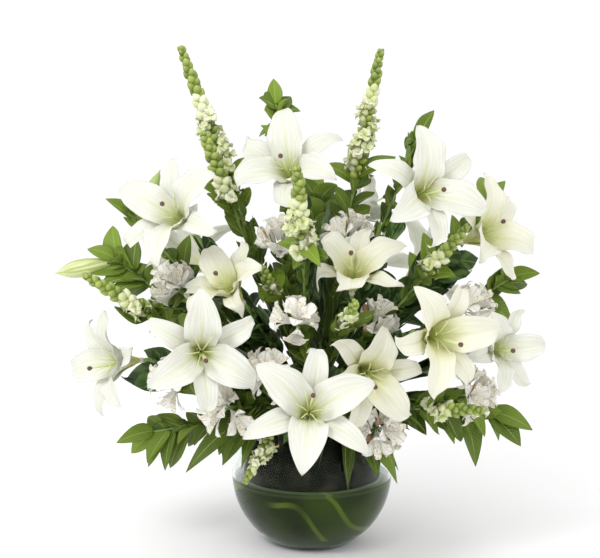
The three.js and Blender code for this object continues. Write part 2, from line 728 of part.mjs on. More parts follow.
/** Radius of the glass wall's outer face at a height. */
function glassOutside(height) {
  return Math.sqrt(BOWL_RADIUS ** 2 - (height - BOWL_CENTRE.z) ** 2);
}

function glassBowl() {
  const outside = [0, 30, 65, 105, 145, 175, RIM_Z].map((height) => [glassOutside(height), height]);
  const inside = [RIM_Z, 175, 145, 105, 65, 30, BOWL_FLOOR].map((height) => [glassInside(height), height]);
  return [turned([[0, 0], ...outside, ...inside, [0, BOWL_FLOOR]])];
}

function leafLiner() {
  const outside = LINER.map(([height, radius]) => [radius, height]);
  const inside = LINER.map(([height, radius]) => [radius - LINER_THICKNESS, height]).reverse();
  return [turned([...outside, ...inside, outside[0]])];
}

/** Water round the foam and on both sides of the liner, whose lower edge hangs in it. */
function water() {
  const floor = BOWL_FLOOR + 2 * TOUCH;
  const [linerFoot, linerMiddle] = LINER;
  const glass = [floor, 30, 65, WATER_Z].map((height) => [glassInside(height) - 2 * TOUCH, height]);
  const linerAtTop = 106.6; // the liner's outer radius at the water's surface
  const behind = LINER_THICKNESS + TOUCH;
  const slot = [
    [linerAtTop + TOUCH, WATER_Z],
    [linerMiddle[1] + TOUCH, linerMiddle[0]],
    [linerFoot[1] + TOUCH, linerFoot[0] - TOUCH],
    [linerFoot[1] - behind, linerFoot[0] - TOUCH],
    [linerMiddle[1] - behind, linerMiddle[0]],
    [linerAtTop - behind, WATER_Z],
  ];
  const foamSide = FOAM_RADIUS + TOUCH;
  const foam = [[foamSide, WATER_Z], [foamSide, FOAM_FOOT_HEIGHT], [FOAM_FOOT_RADIUS + 2, floor]];
  return [turned([...glass, ...slot, ...foam, glass[0]])];
}

/** The foam: a block with a domed top, and a plain hole for each stem. */
function floralFoam(stems) {
  const dome = [0, 30, 60, 90].map((angle) => [
    FOAM_RADIUS * Math.cos(radians(angle)),
    FOCUS.z + FOAM_RADIUS * Math.sin(radians(angle)),
  ]);
  dome[dome.length - 1][0] = 0;
  const foot = BOWL_FLOOR + TOUCH;
  const block = turned([[0, foot], [FOAM_FOOT_RADIUS, foot], [FOAM_RADIUS, FOAM_FOOT_HEIGHT], ...dome]);
  const holes = stems.map(({ path, radius, sides }) => tube(path, path.map(() => radius), sides));
  return [block.subtract(wasm.Manifold.union(holes))];
}

// ---------------------------------------------------------------- assembly
const centerpiece = new THREE.Group();

/** Fuses solids into one named mesh with its colour and roughness. */
function add(name, parts, finish) {
  const geometry = outerSkin(wasm.Manifold.union(parts));
  const [colour, roughness] = COLOURS[finish];
  const material = new THREE.MeshStandardMaterial({ color: colour, roughness, metalness: 0 });
  if (finish === "glass" || finish === "water") {
    material.transparent = true;
    material.opacity = 0.35;
  }
  const mesh = new THREE.Mesh(geometry, material);
  mesh.name = name;
  centerpiece.add(mesh);
}

const twoDigits = (number) => String(number).padStart(2, "0");

/** The cell of a straight stem from the foam to its end, with room for leaves half way. */
function stemCell(line, end, leafRoom) {
  const root = outAlong(line, ROOT_REACH);
  return makeCell([[root, STEM_ROOM], [root.clone().lerp(end, 0.5), leafRoom], [end, 6]]);
}

const lilies = LILIES.map(([azimuth, elevation, reach, faceAzimuth, faceElevation, roll, size]) => {
  const throat = placeAt(azimuth, elevation, reach);
  const axis = heading(faceAzimuth, faceElevation);
  const base = throat.clone().addScaledVector(axis, -LILY_DEPTH * size);
  const line = base.clone().sub(FOCUS).normalize();
  const mouth = [0, 1, 2, 3, 4, 5].map((petal) => {
    const tip = base.clone().addScaledVector(axis, TIP_DEPTH * size);
    const outward = offAxis(axis, 90, roll + 60 * petal);
    return [tip.addScaledVector(outward, TIP_SPREAD * size), TIP_ROOM * size];
  });
  return {
    axis,
    base,
    roll,
    size,
    line,
    stemCell: stemCell(line, base.clone().addScaledVector(axis, -LILY_NECK), LILY_LEAF_ROOM),
    cell: makeCell([[base, 10], [throat, 30 * size], ...mouth], 2),
  };
});

const spikes = SNAPDRAGONS.map(([azimuth, elevation, reach, length, radius]) => {
  const line = heading(azimuth, elevation);
  const start = outAlong(line, reach - length);
  const tip = outAlong(line, reach);
  return {
    line,
    path: [outAlong(line, ROOT_REACH), tip],
    stemCell: stemCell(line, start, SPIKE_LEAF_ROOM),
    cell: makeCell([[start, 1.3 * radius], [tip, 0.6 * radius]]),
    length,
    radius,
  };
});

const hangingPath = HANGING_SNAPDRAGON.path.map((place) => placeAt(...place));
spikes.push({
  ...HANGING_SNAPDRAGON,
  line: heading(HANGING_SNAPDRAGON.path[0][0], HANGING_SNAPDRAGON.path[0][1]),
  path: hangingPath,
  cell: makeCell(hangingPath.map((at, index) => [at, HANGING_SNAPDRAGON.room[index]])),
});

const heads = ALSTROEMERIA.map(([azimuth, elevation, reach, roll, florets]) => {
  const line = heading(azimuth, elevation);
  const crown = outAlong(line, reach - HEAD_DEPTH);
  const middle = outAlong(line, reach - HEAD_DEPTH + HEAD_MIDDLE);
  return {
    line,
    stemCell: stemCell(line, outAlong(line, reach - HEAD_DEPTH - 6), HEAD_LEAF_ROOM),
    cell: makeCell([[crown, 10], [middle, florets > 3 ? 40 : 36]]),
    reach,
    roll,
    florets,
  };
});

/** A long bud on a stem: its line of centres, and its radius at each of them. */
function makeBud(line, [reach, azimuth, elevation, length, radius]) {
  const root = outAlong(line, reach);
  const along = heading(azimuth, elevation);
  const path = BUD_SHAPE.map(([share]) => root.clone().addScaledVector(along, length * share));
  return { path, radii: BUD_SHAPE.map(([, wide]) => radius * wide) };
}

const sprigs = SPRIGS.map((row, index) => {
  const [azimuth, elevation, reach, leaves, length] = row;
  const line = heading(azimuth, elevation);
  const bud = SPRIG_BUDS.has(index + 1) ? makeBud(line, SPRIG_BUDS.get(index + 1)) : null;
  const budBalls = bud ? bud.path.map((at, step) => [at, bud.radii[step] + 3]) : [];
  const spread = 0.4 * length;
  const first = Math.max(120, reach - 24 * leaves);
  const balls = [[ROOT_REACH, STEM_ROOM], [first, 0.6 * spread], [reach - 0.4 * length, spread], [reach, 8]];
  const stem = balls.map(([out, radius]) => [outAlong(line, out), radius]);
  return { row, line, bud, cell: makeCell([...stem, ...budBalls], stem.length) };
});

const flowers = [...lilies, ...spikes, ...heads, ...sprigs];
const cellsOf = (flower) => (flower.stemCell ? [flower.stemCell, flower.cell] : [flower.cell]);
flowers.forEach((flower, index) =>
  flowers.slice(index + 1).forEach((neighbour) =>
    cellsOf(flower).forEach((one) => cellsOf(neighbour).forEach((other) => wallBetween(one, other))),
  ),
);

const single = [...spikes, ...heads, ...sprigs].map(({ line, path }) => ({
  path: [outAlong(line, ROOT_REACH - 1), outAlong(line, HOLE_TOP_REACH)],
  radius: path?.length > 2 ? CURVED_HOLE_RADIUS : HOLE_RADIUS,
  sides: STEM_SIDES,
}));
const forked = LILY_STEMS.flatMap(([first, second]) => {
  const pair = [lilies[first - 1].line, lilies[second - 1].line];
  const middle = pair[0].clone().add(pair[1]).normalize();
  return pair.map((line) => ({
    path: [outAlong(middle, FORK_REACH - 1), outAlong(line, FORK_END_REACH), outAlong(line, HOLE_TOP_REACH)],
    radius: FORKED_HOLE_RADIUS,
    sides: BRANCH_SIDES,
  }));
});

add("glass_bowl", glassBowl(), "glass");
add("water", water(), "water");
add("liner_leaf", leafLiner(), "liner");
add("floral_foam", floralFoam([...single, ...forked]), "foam");
lilies.forEach((lily, index) => add(`lily_${twoDigits(index + 1)}`, lilyBloom(lily, index + 1), "lily"));
LILY_STEMS.forEach(([first, second], index) =>
  add(`lily_stem_${index + 1}`, lilyStem(lilies, first - 1, second - 1), "stem"),
);
spikes.forEach((spike, index) =>
  add(`snapdragon_${twoDigits(index + 1)}`, snapdragon(spike, index + 1), "snapdragon"),
);
heads.forEach((head, index) =>
  add(`alstroemeria_${twoDigits(index + 1)}`, alstroemeria(head, index + 1), "alstroemeria"),
);
sprigs.forEach((row, index) => add(`sprig_${twoDigits(index + 1)}`, sprig(row, index + 1), "leaf"));

export default centerpiece;
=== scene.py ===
# %% [markdown]
# # A floral table centerpiece
# White lilies, snapdragon spikes, alstroemeria and leafy sprigs stand in wet foam inside a glass
# bowl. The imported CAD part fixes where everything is; this lesson rebuilds each flower with finer
# surfaces and gives every surface the finish that the real one has.
#
# The real arrangement is held by wet foam, and every stem points at one spot in it, the focus.
# Lengths below are in millimetres until a mesh is made, because flowers are measured so.

import bpy
import numpy as np
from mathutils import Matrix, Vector


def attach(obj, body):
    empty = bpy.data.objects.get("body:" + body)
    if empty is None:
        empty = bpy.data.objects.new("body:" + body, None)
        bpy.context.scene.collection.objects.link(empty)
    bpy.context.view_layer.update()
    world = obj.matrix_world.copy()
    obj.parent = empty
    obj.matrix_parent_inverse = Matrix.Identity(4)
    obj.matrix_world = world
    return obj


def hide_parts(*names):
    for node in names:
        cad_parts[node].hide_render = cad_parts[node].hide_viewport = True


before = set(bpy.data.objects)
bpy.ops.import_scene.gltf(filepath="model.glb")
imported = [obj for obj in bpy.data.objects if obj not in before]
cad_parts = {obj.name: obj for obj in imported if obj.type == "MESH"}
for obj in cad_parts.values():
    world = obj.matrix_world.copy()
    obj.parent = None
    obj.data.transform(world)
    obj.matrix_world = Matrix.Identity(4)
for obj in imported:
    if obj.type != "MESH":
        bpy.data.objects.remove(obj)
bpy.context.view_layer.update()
MM = 0.001

# %% [markdown]
# ## Camera
# The photograph looks slightly down from two metres or so, with a long lens that hardly shows
# perspective. The bowl's waterline, seen as a flat ellipse, gives the angle: about 8 degrees.

# %% Camera
CAMERA_TARGET = Vector((-0.0185, 0.0, 0.415))
CAMERA_DISTANCE = 2.25
CAMERA_ELEVATION = np.radians(8.0)

camera_data = bpy.data.cameras.new("camera")
camera_data.sensor_width = 36.0
camera_data.lens = 87.5
camera = bpy.data.objects.new("camera", camera_data)
back = Vector((0.0, -np.cos(CAMERA_ELEVATION), np.sin(CAMERA_ELEVATION)))
camera.location = CAMERA_TARGET + back * CAMERA_DISTANCE
camera.rotation_euler = (-back).to_track_quat("-Z", "Y").to_euler()
bpy.context.scene.collection.objects.link(camera)
bpy.context.scene.camera = camera
print("camera at", [round(value, 3) for value in camera.location])

# %% [markdown]
# ## Studio
# The object stands on a white table in an even white room, so shadows are soft and the ground
# runs into the background. A pale world gives the room, one broad lamp from the upper left gives
# the petals their shape, and a weaker one fills the right side.

# %% Studio
scene = bpy.context.scene
scene.view_settings.view_transform = "Standard"
world = bpy.data.worlds.new("studio")
world.use_nodes = True
room = world.node_tree.nodes["Background"]
room.inputs["Color"].default_value = (1.0, 1.0, 1.0, 1.0)
room.inputs["Strength"].default_value = 1.06
scene.world = world
FLOWER_MIDDLE = Vector((0, 0, 0.45))


def soft_lamp(name, location, size, power):
    """An area lamp that looks at the middle of the flowers."""
    data = bpy.data.lights.new(name, "AREA")
    data.shape = "DISK"
    data.size = size
    data.energy = power
    lamp = bpy.data.objects.new(name, data)
    lamp.location = location
    lamp.rotation_euler = (FLOWER_MIDDLE - lamp.location).to_track_quat("-Z", "Y").to_euler()
    scene.collection.objects.link(lamp)


soft_lamp("key_lamp", Vector((-1.3, -1.9, 2.3)), 1.1, 34.0)
soft_lamp("fill_lamp", Vector((1.9, -1.6, 1.2)), 1.4, 6.0)

FLOOR = 40.0
floor_corners = [(-FLOOR, -FLOOR, 0), (FLOOR, -FLOOR, 0), (FLOOR, FLOOR, 0), (-FLOOR, FLOOR, 0)]
floor_mesh = bpy.data.meshes.new("floor")
floor_mesh.from_pydata(floor_corners, [], [(0, 1, 2, 3)])
floor = bpy.data.objects.new("floor", floor_mesh)
scene.collection.objects.link(floor)
floor_finish = bpy.data.materials.new("floor")
floor_finish.use_nodes = True
floor_shader = floor_finish.node_tree.nodes["Principled BSDF"]
floor_shader.inputs["Base Color"].default_value = (0.95, 0.95, 0.95, 1.0)
floor_shader.inputs["Roughness"].default_value = 0.9
floor_mesh.materials.append(floor_finish)
print("world, two lamps and a floor", 2 * FLOOR, "m wide")

# %% [markdown]
# ## Where everything stands
# Florists think in directions from the foam: how far round, how high, how far out. The tables
# below are the ones that the CAD part was made from, so that each finer flower lands on its node.

# %% Layout
FOCUS = np.array([0.0, 0.0, 215.0])
ROOT_REACH, FORK_REACH, FORK_END_REACH = 48.0, 30.0, 62.0
BOWL_CENTRE = np.array([0.0, 0.0, 110.0])
BOWL_RADIUS, FOAM_RADIUS = 125.0, 72.0
BOWL_GAP, STEM_ROOM, TOUCH = 5.0, 5.0, 0.4
LILY_TEPAL, LILY_DEPTH, LILY_FOOT = 138.0, 52.0, 5.0
TIP_DEPTH, TIP_SPREAD, TIP_ROOM = 68.0, 72.0, 16.0
PETAL_WIDTH, SEPAL_WIDTH = 52.0, 34.0
HEAD_DEPTH, HEAD_MIDDLE, LILY_NECK = 46.0, 26.0, 18.0
LILY_LEAF_ROOM, SPIKE_LEAF_ROOM, HEAD_LEAF_ROOM = 22.0, 16.0, 20.0
CROWN_ROOM, THROAT_ROOM, HEAD_ROOM = 10, 30, {3: 36, 4: 40}

# azimuth, elevation, reach of the throat, azimuth and elevation faced, roll, size
LILIES = [
    (-20, 74, 395, -15, 38, 95, 1.0), (40.7, 55, 430, 26, 18, 92, 1.0),
    (72, 46, 392, 45, 22, -30, 0.95), (-54.8, 51.8, 400, -30, 30, 162, 1.0),
    (-36.7, 46.3, 298, -40, 42, 140, 0.85), (20, 53.7, 293, 5, 52, 19, 0.9),
    (140, 66, 330, 100, 30, 0, 0.85), (-72, 16, 325, -50, 5, 80, 0.95),
    (-31.8, 24.5, 320, 10, 8, 92, 1.0), (36.9, 27.4, 330, 30, 4, 125, 1.0),
    (21.6, 23, 235, 14, -2, 72, 0.95), (-1, 11.9, 295, 4, 26, 260, 1.05),
    (62.4, 20.6, 330, 35, 8, 0, 0.8), (-130, 40, 330, -135, 20, 90, 1.0),
    (135, 36, 330, 135, 20, 60, 1.0), (178, 20, 290, 180, 12, 90, 1.0),
]
LILY_STEMS = [(1, 4), (5, 9), (2, 7), (3, 13), (10, 11), (6, 12), (8, 14), (15, 16)]

# azimuth, elevation, reach of the tip, length, radius, share that is open
SNAPDRAGONS = [
    (-75, 70, 600, 225, 27, 0.42), (-54.9, 65.7, 480, 125, 24, 0.15),
    (-4.7, 54.6, 488, 165, 27, 0.38), (72, 79, 570, 205, 26, 0.48),
    (53.5, 47.5, 412, 110, 22, 0.2), (-25.6, 55.1, 295, 60, 18, 0.15),
    (13.1, 38.6, 330, 75, 20, 0.3), (-63, 32, 440, 130, 24, 0.25),
    (50.1, 7.3, 325, 105, 22, 0.2),
]
HANGING_PATH = [(-24, 4, 48), (-24, 4, 112), (-24, -8, 168), (-32, -23, 205)]
HANGING_ROOM, HANGING_LENGTH, HANGING_RADIUS = (5, 8, 22, 14), 80, 19

# azimuth, elevation, reach, roll, florets in the CAD part
ALSTROEMERIA = [
    (-70.4, 42.5, 330, 20, 4), (-25.7, 67.2, 325, 80, 4), (36.4, 71, 325, 40, 4), (-6.5, 40, 295, 0, 3),
    (-19, 23.3, 260, 50, 3), (37.4, 45.7, 247, 70, 3), (67, 34, 340, 10, 4), (65.2, 9.4, 300, 35, 4),
    (34.2, -0.9, 210, 90, 4), (-58.6, 15.6, 285, 15, 3), (-34, 10.1, 265, 60, 3),
]

# azimuth, elevation, reach of the tip, leaves, leaf length and width, droop
SPRIGS = [
    (-80, 83.2, 508, 7, 46, 26, 0), (90, 69, 489, 7, 56, 30, 0), (-80, 47.5, 448, 7, 52, 28, 0),
    (-84, 38, 430, 6, 60, 27, 12), (-76, -6, 300, 7, 62, 30, 15), (-60, -5.5, 215, 3, 110, 34, 35),
    (97, 49, 460, 7, 46, 25, 0), (86, 34, 408, 7, 55, 27, 12), (78, 1, 325, 7, 60, 28, 15),
    (178, 57, 430, 7, 74, 34, 10), (-155, 6, 290, 7, 78, 32, 25),
]
# Two sprigs carry a lily's bud: reach of its root, azimuth and elevation, length and radius.
SPRIG_BUDS = {3: (395, 90, 66, 88, 10), 4: (378, -92, -12, 98, 14)}
LEAF_PITCH = 24
# Shares of a lily bud's length, and of its radius there.
BUD_SHAPE = np.array([(0, 0.2), (0.3, 0.7), (0.65, 1), (0.88, 0.65), (1, 0)])
print(len(LILIES), "lilies,", len(SNAPDRAGONS) + 1, "spikes,", len(ALSTROEMERIA), "heads")

# %% [markdown]
# ## Directions
# Every flower is placed with three small helpers: a direction from two angles, a right and an up
# for something that faces along an axis, and a direction tilted off that axis.

# %% Directions
UP = np.array([0.0, 0.0, 1.0])


def unit(vectors):
    """Each vector divided by its length."""
    return vectors / np.maximum(np.linalg.norm(vectors, axis=-1, keepdims=True), 1e-9)


def heading(azimuth, elevation):
    """Unit vector: (sin a cos e, -cos a cos e, sin e)."""
    turn, rise = np.radians(azimuth), np.radians(elevation)
    return np.array([np.sin(turn) * np.cos(rise), -np.cos(turn) * np.cos(rise), np.sin(rise)])


def place_at(azimuth, elevation, reach):
    """The focus plus reach times the heading."""
    return FOCUS + reach * heading(azimuth, elevation)


def facing_frame(axis):
    """Up is Z made square to the axis, and right is up cross axis."""
    up = UP - axis * axis[2]
    if np.linalg.norm(up) < 0.05:
        up = np.array([0.0, 1.0, 0.0]) - axis * axis[1]
    up = unit(up)
    return np.cross(up, axis), up


def off_axis(axis, tilt, roll):
    """cos(tilt) axis + sin(tilt) (cos(roll) right + sin(roll) up), for one or many angles."""
    right, up = facing_frame(axis)
    tilt = np.radians(np.asarray(tilt, float))[..., None]
    roll = np.radians(np.asarray(roll, float))[..., None]
    lean = np.cos(roll) * right + np.sin(roll) * up
    return np.cos(tilt) * axis + np.sin(tilt) * lean


def draw(number):
    """The same value from 0 to 1 for the same number: the fraction of a large sine."""
    return np.mod(np.sin(np.asarray(number, float) * 127.1 + 11.7) * 43758.5453, 1.0)


print("first draws", draw(np.arange(3)).round(3))

# %% [markdown]
# ## Room for each flower
# In a full arrangement petals press on their neighbours and bend instead of cutting through. Each
# flower here owns the space on its own side of a flat wall towards each neighbour. A point that
# would cross a wall is eased back with an exponential, so the petal turns in a smooth curve.

# %% Cells and walls
WALL_SOFT, WALL_GAP, WALL_REACH, WALL_ROUNDS = 14.0, 1.7, 25.0, 4
HEART, HEART_COST = 8.0, 50
WALL_SHARE, RIM_REGION = 0.7, 212.0
SHARES = np.linspace(0.14, 0.86, 9)
TILTS, SWINGS = np.radians(np.arange(-85, 86, 5)), np.radians(np.arange(-78, 79, 6))


def make_cell(places, radii, spine=None):
    """The balls that a stem or a flower fills. The spine is its line of centres, as far as the
    ball numbered spine."""
    places = np.array(places, float)
    radii = np.array(radii, float)
    return {"places": places, "spine": places[:spine], "radii": radii, "normals": [], "offsets": []}


def wall_cost(one, other, normals, offsets):
    """Sum of (radius - distance)^2 over the balls that reach through each plane. What is on the
    spines, the stems and hearts, counts HEART_COST times."""
    cost = 0.0
    for cell, sign in ((one, 1.0), (other, -1.0)):
        count = len(cell["spine"])
        reach = sign * ((normals @ cell["places"].T)[:, None] - offsets[..., None])
        cost = cost + (np.maximum(cell["radii"] - reach, 0) ** 2).sum(axis=2)
        heart = np.minimum(cell["radii"][:count], HEART)
        cost = cost + HEART_COST * (np.maximum(heart - reach[..., :count], 0) ** 2).sum(axis=2)
    return cost


def wall_between(one, other):
    """Of many planes between two spines, the one where the balls stick out least.

    Each plane is square to cos s (cos t across + sin t along) + sin s side, where across joins the
    middles of the two spines, and stands at a share of the gap between them."""
    across = unit(one["spine"].mean(axis=0) - other["spine"].mean(axis=0))
    side, along = facing_frame(across)
    tilted = np.cos(TILTS)[:, None] * across + np.sin(TILTS)[:, None] * along
    swing = SWINGS[None, :, None]
    normals = (np.cos(swing) * tilted[:, None] + np.sin(swing) * side).reshape(-1, 3)
    for tried in (across[None], normals):
        high = (tried @ one["spine"].T).min(axis=1)[:, None]
        low = (tried @ other["spine"].T).max(axis=1)[:, None]
        offsets = low + (high - low) * SHARES
        cost = np.where(high > low, wall_cost(one, other, tried, offsets), np.inf)
        if cost.min() == 0:
            break
    free = np.argwhere(cost <= cost.min() + 1e-9)
    best, share = free[len(free) // 2] if cost.min() == 0 else free[0]
    for cell, sign in ((one, 1.0), (other, -1.0)):
        cell["normals"].append(sign * tried[best])
        cell["offsets"].append(sign * offsets[best, share])


def split_cell(cell, normal, at):
    """The cell with one more wall, through a point."""
    cut = dict(cell)
    cut["normals"] = list(cell["normals"]) + [normal]
    cut["offsets"] = list(cell["offsets"]) + [float(normal @ at)]
    return cut


def on_spine(cell, points):
    """For each point, the nearest point of the cell's line of ball centres."""
    nearest = np.zeros_like(points)
    least = np.full(len(points), np.inf)
    for start, end in zip(cell["spine"][:-1], cell["spine"][1:]):
        span = end - start
        share = np.clip((points - start) @ span / (span @ span), 0, 1)
        found = start + share[:, None] * span
        distance = np.linalg.norm(found - points, axis=1)
        closer = distance < least
        nearest[closer], least[closer] = found[closer], distance[closer]
    return nearest


def keep_outside(points, centre, radius, below):
    """Points lower than a height and inside a ball move out to its surface."""
    away = points - centre
    length = np.linalg.norm(away, axis=1)
    inside = (points[:, 2] < below) & (length < radius)
    points[inside] = centre + away[inside] * (radius / length[inside])[:, None]


def bend_clear(cell, grid):
    """Within soft of a wall, a point at distance d moves to
    gap + (soft - gap) exp((d - soft) / (soft - gap)). Then it leaves the bowl and the foam."""
    points = np.array(grid, float).reshape(-1, 3)
    normals, offsets = np.array(cell["normals"]), np.array(cell["offsets"])
    spine = on_spine(cell, points)
    soft = np.clip(WALL_SHARE * (spine @ normals.T - offsets), 1.0, WALL_SOFT)
    gap = np.minimum(WALL_GAP, soft / 2)
    near = np.nonzero(((points @ normals.T - offsets) < soft + WALL_REACH).any(axis=0))[0]
    for _ in range(WALL_ROUNDS):
        for wall in near:
            away = points @ normals[wall] - offsets[wall]
            give, least = soft[:, wall], gap[:, wall]
            target = least + (give - least) * np.exp((np.minimum(away, give) - give) / (give - least))
            points += np.where(away < give, target - away, 0.0)[:, None] * normals[wall]
        keep_outside(points, BOWL_CENTRE, BOWL_RADIUS + BOWL_GAP, RIM_REGION)
        keep_outside(points, FOCUS, FOAM_RADIUS + BOWL_GAP, np.inf)
    return points.reshape(np.shape(grid))


print("each wall is the best of", TILTS.size * SWINGS.size * SHARES.size, "planes")


# %% Give every stem and every flower its cell
def stem_cell(line, end, leaf_room):
    """A straight stem from the foam to its end, with room for leaves half way."""
    root, end = FOCUS + ROOT_REACH * line, np.asarray(end)
    return make_cell([root, (root + end) / 2, end], [STEM_ROOM, leaf_room, 6])


lilies = []
for azimuth, elevation, reach, face_azimuth, face_elevation, roll, size in LILIES:
    throat = place_at(azimuth, elevation, reach)
    axis = heading(face_azimuth, face_elevation)
    base = throat - axis * LILY_DEPTH * size
    outward = off_axis(axis, 90, roll + 60 * np.arange(6))
    mouth = base + size * (TIP_DEPTH * axis + TIP_SPREAD * outward)
    rooms = [CROWN_ROOM, THROAT_ROOM * size] + [TIP_ROOM * size] * 6
    line = unit(base - FOCUS)
    lilies.append({
        "base": base, "axis": axis, "roll": roll, "size": size, "heading": line,
        "stem_cell": stem_cell(line, base - LILY_NECK * axis, LILY_LEAF_ROOM),
        "cell": make_cell([base, throat, *mouth], rooms, 2),
    })

spikes = []
for azimuth, elevation, reach, length, radius, opened in SNAPDRAGONS:
    line = heading(azimuth, elevation)
    start, tip = FOCUS + (reach - length) * line, FOCUS + reach * line
    spikes.append({
        "path": [FOCUS + ROOT_REACH * line, tip], "heading": line,
        "stem_cell": stem_cell(line, start, SPIKE_LEAF_ROOM),
        "cell": make_cell([start, tip], [1.3 * radius, 0.6 * radius]),
        "length": length, "radius": radius, "open": opened,
    })
path = [place_at(*place) for place in HANGING_PATH]
spikes.append({
    "path": path, "cell": make_cell(path, HANGING_ROOM),
    "length": HANGING_LENGTH, "radius": HANGING_RADIUS, "open": 0.5,
})

heads = []
for azimuth, elevation, reach, roll, florets in ALSTROEMERIA:
    line = heading(azimuth, elevation)
    crown = FOCUS + (reach - HEAD_DEPTH) * line
    heads.append({
        "stem_cell": stem_cell(line, crown - 6 * line, HEAD_LEAF_ROOM),
        "heading": line, "reach": reach,
        "cell": make_cell([crown, crown + HEAD_MIDDLE * line], [CROWN_ROOM, HEAD_ROOM[florets]]),
        "roll": roll, "florets": florets,
    })

sprigs = []
for index, (azimuth, elevation, reach, leaves, length, width, droop) in enumerate(SPRIGS):
    line = heading(azimuth, elevation)
    spread = 0.4 * length
    lowest = max(120, reach - LEAF_PITCH * leaves)
    outs = np.array([ROOT_REACH, lowest, reach - 0.4 * length, reach])
    places, radii, bud = FOCUS + outs[:, None] * line, [STEM_ROOM, 0.6 * spread, spread, 8], None
    if index + 1 in SPRIG_BUDS:
        root, bud_azimuth, bud_elevation, bud_length, bud_radius = SPRIG_BUDS[index + 1]
        bud_line = heading(bud_azimuth, bud_elevation)
        bud = FOCUS + root * line + bud_length * BUD_SHAPE[:, :1] * bud_line
        places = np.concatenate([places, bud])
        radii = radii + list(bud_radius * BUD_SHAPE[:, 1] + 3)
    sprigs.append({
        "cell": make_cell(places, radii, 4), "reach": reach, "leaves": leaves, "bud": bud,
        "heading": line, "length": length, "width": width, "droop": droop,
    })

flowers = lilies + spikes + heads + sprigs
for index, flower in enumerate(flowers):
    for other in flowers[index + 1:]:
        for mine in ("stem_cell", "cell"):
            for theirs in ("stem_cell", "cell"):
                if mine in flower and theirs in other:
                    wall_between(flower[mine], other[theirs])
print(len(flowers), "flowers and sprigs")

# %% [markdown]
# ## From arrays to a mesh
# Every petal, leaf, stalk and bud is the same kind of surface: closed rings of points, one after
# the other, with a point at each end. A helper joins the rings with quads and the ends with fans.
# Each point keeps two numbers in a UV map, how far along and how far across it is, and a third,
# its tone, so that no two leaves have quite the same green; on leaves down a stem the tone is also
# lowered towards the foam, as painted shade deep in the bunch.

# %% Ring surfaces
def ring_part(rings, start, end, along, across, finish, tone=0.5):
    """One closed surface through n rings of m points, closed by a fan to a point at each end.
    It is turned inside out if its signed volume comes out negative."""
    n, m, _ = rings.shape
    points = np.concatenate([rings.reshape(-1, 3), [start, end]])
    step, turn = np.meshgrid(np.arange(n - 1), np.arange(m), indexing="ij")
    after = (turn + 1) % m
    here, ahead = step * m, (step + 1) * m
    quads = np.stack([here + turn, here + after, ahead + after, ahead + turn], -1).reshape(-1, 4)
    ring = np.arange(m)
    low = np.stack([np.full(m, n * m), (ring + 1) % m, ring], -1)
    high = np.stack([np.full(m, n * m + 1), (n - 1) * m + ring, (n - 1) * m + (ring + 1) % m], -1)
    fans = np.concatenate([low, high])
    middle = points - points.mean(axis=0)
    tris = np.concatenate([quads[:, [0, 1, 2]], quads[:, [0, 2, 3]], fans])
    first, second, third = (middle[tris[:, corner]] for corner in range(3))
    volume = np.einsum("ij,ij->i", first, np.cross(second, third)).sum()
    if volume < 0:
        quads, fans = quads[:, ::-1], fans[:, ::-1]
    uv = np.stack(np.broadcast_arrays(along[:, None], np.array(across)[None, :]), -1).reshape(-1, 2)
    uv = np.concatenate([uv, [[along[0], 0.5], [along[-1], 0.5]]])
    return {"points": points, "quads": quads, "fans": fans, "uv": uv, "finish": finish, "tone": tone}


def crosswise(columns):
    """Places across a sheet from -1 to 1, closest together at its edges: sin(pi t / 2)."""
    return np.sin(np.linspace(-np.pi / 2, np.pi / 2, columns))


def sheet_part(middle, thickness, finish, tone=0.5):
    """A leaf or petal from its middle surface, an array of rows along and columns across. The two
    faces stand T/2 sqrt(1 - 0.96 v^2) sqrt(sin(pi u)) off along the normal, and meet at the sides."""
    rows, columns, _ = middle.shape
    v = crosswise(columns)
    u = np.linspace(0, 1, rows)
    normal = unit(np.cross(np.gradient(middle, axis=1), np.gradient(middle, axis=0)))
    to_sides = np.sqrt(1 - 0.96 * v ** 2)[None, :, None]
    to_ends = np.sqrt(np.sin(np.pi * np.clip(u, 0.02, 0.98)))[:, None, None]
    half = 0.5 * thickness * to_sides * to_ends
    top, bottom = middle + normal * half, middle - normal * half
    top[:, [0, -1]] = bottom[:, [0, -1]] = middle[:, [0, -1]]
    rings = np.concatenate([top, bottom[:, -2:0:-1]], axis=1)
    across = np.concatenate([v, v[-2:0:-1]]) * 0.5 + 0.5
    start, end = middle[[0, -1], columns // 2]
    return ring_part(rings[1:-1], start, end, u[1:-1], across, finish, tone)


def smooth_path(path, count):
    """Catmull-Rom curve through the points, sampled evenly by its length."""
    path = np.array(path, float)
    if len(path) == 2:
        return path[0] + np.linspace(0, 1, count)[:, None] * (path[1] - path[0])
    ends = np.concatenate([[2 * path[0] - path[1]], path, [2 * path[-1] - path[-2]]])
    t = np.linspace(0, 1, 40)[:-1, None]
    pieces = []
    for a, b, c, d in zip(ends[:-3], ends[1:-2], ends[2:-1], ends[3:]):
        square, cube = 2 * a - 5 * b + 4 * c - d, 3 * b - a - 3 * c + d
        pieces.append(0.5 * (2 * b + (c - a) * t + square * t ** 2 + cube * t ** 3))
    dense = np.concatenate(pieces + [path[-1:]])
    run = np.concatenate([[0], np.cumsum(np.linalg.norm(np.diff(dense, axis=0), axis=1))])
    at = np.linspace(0, run[-1], count)
    return np.stack([np.interp(at, run, dense[:, k]) for k in range(3)], -1)


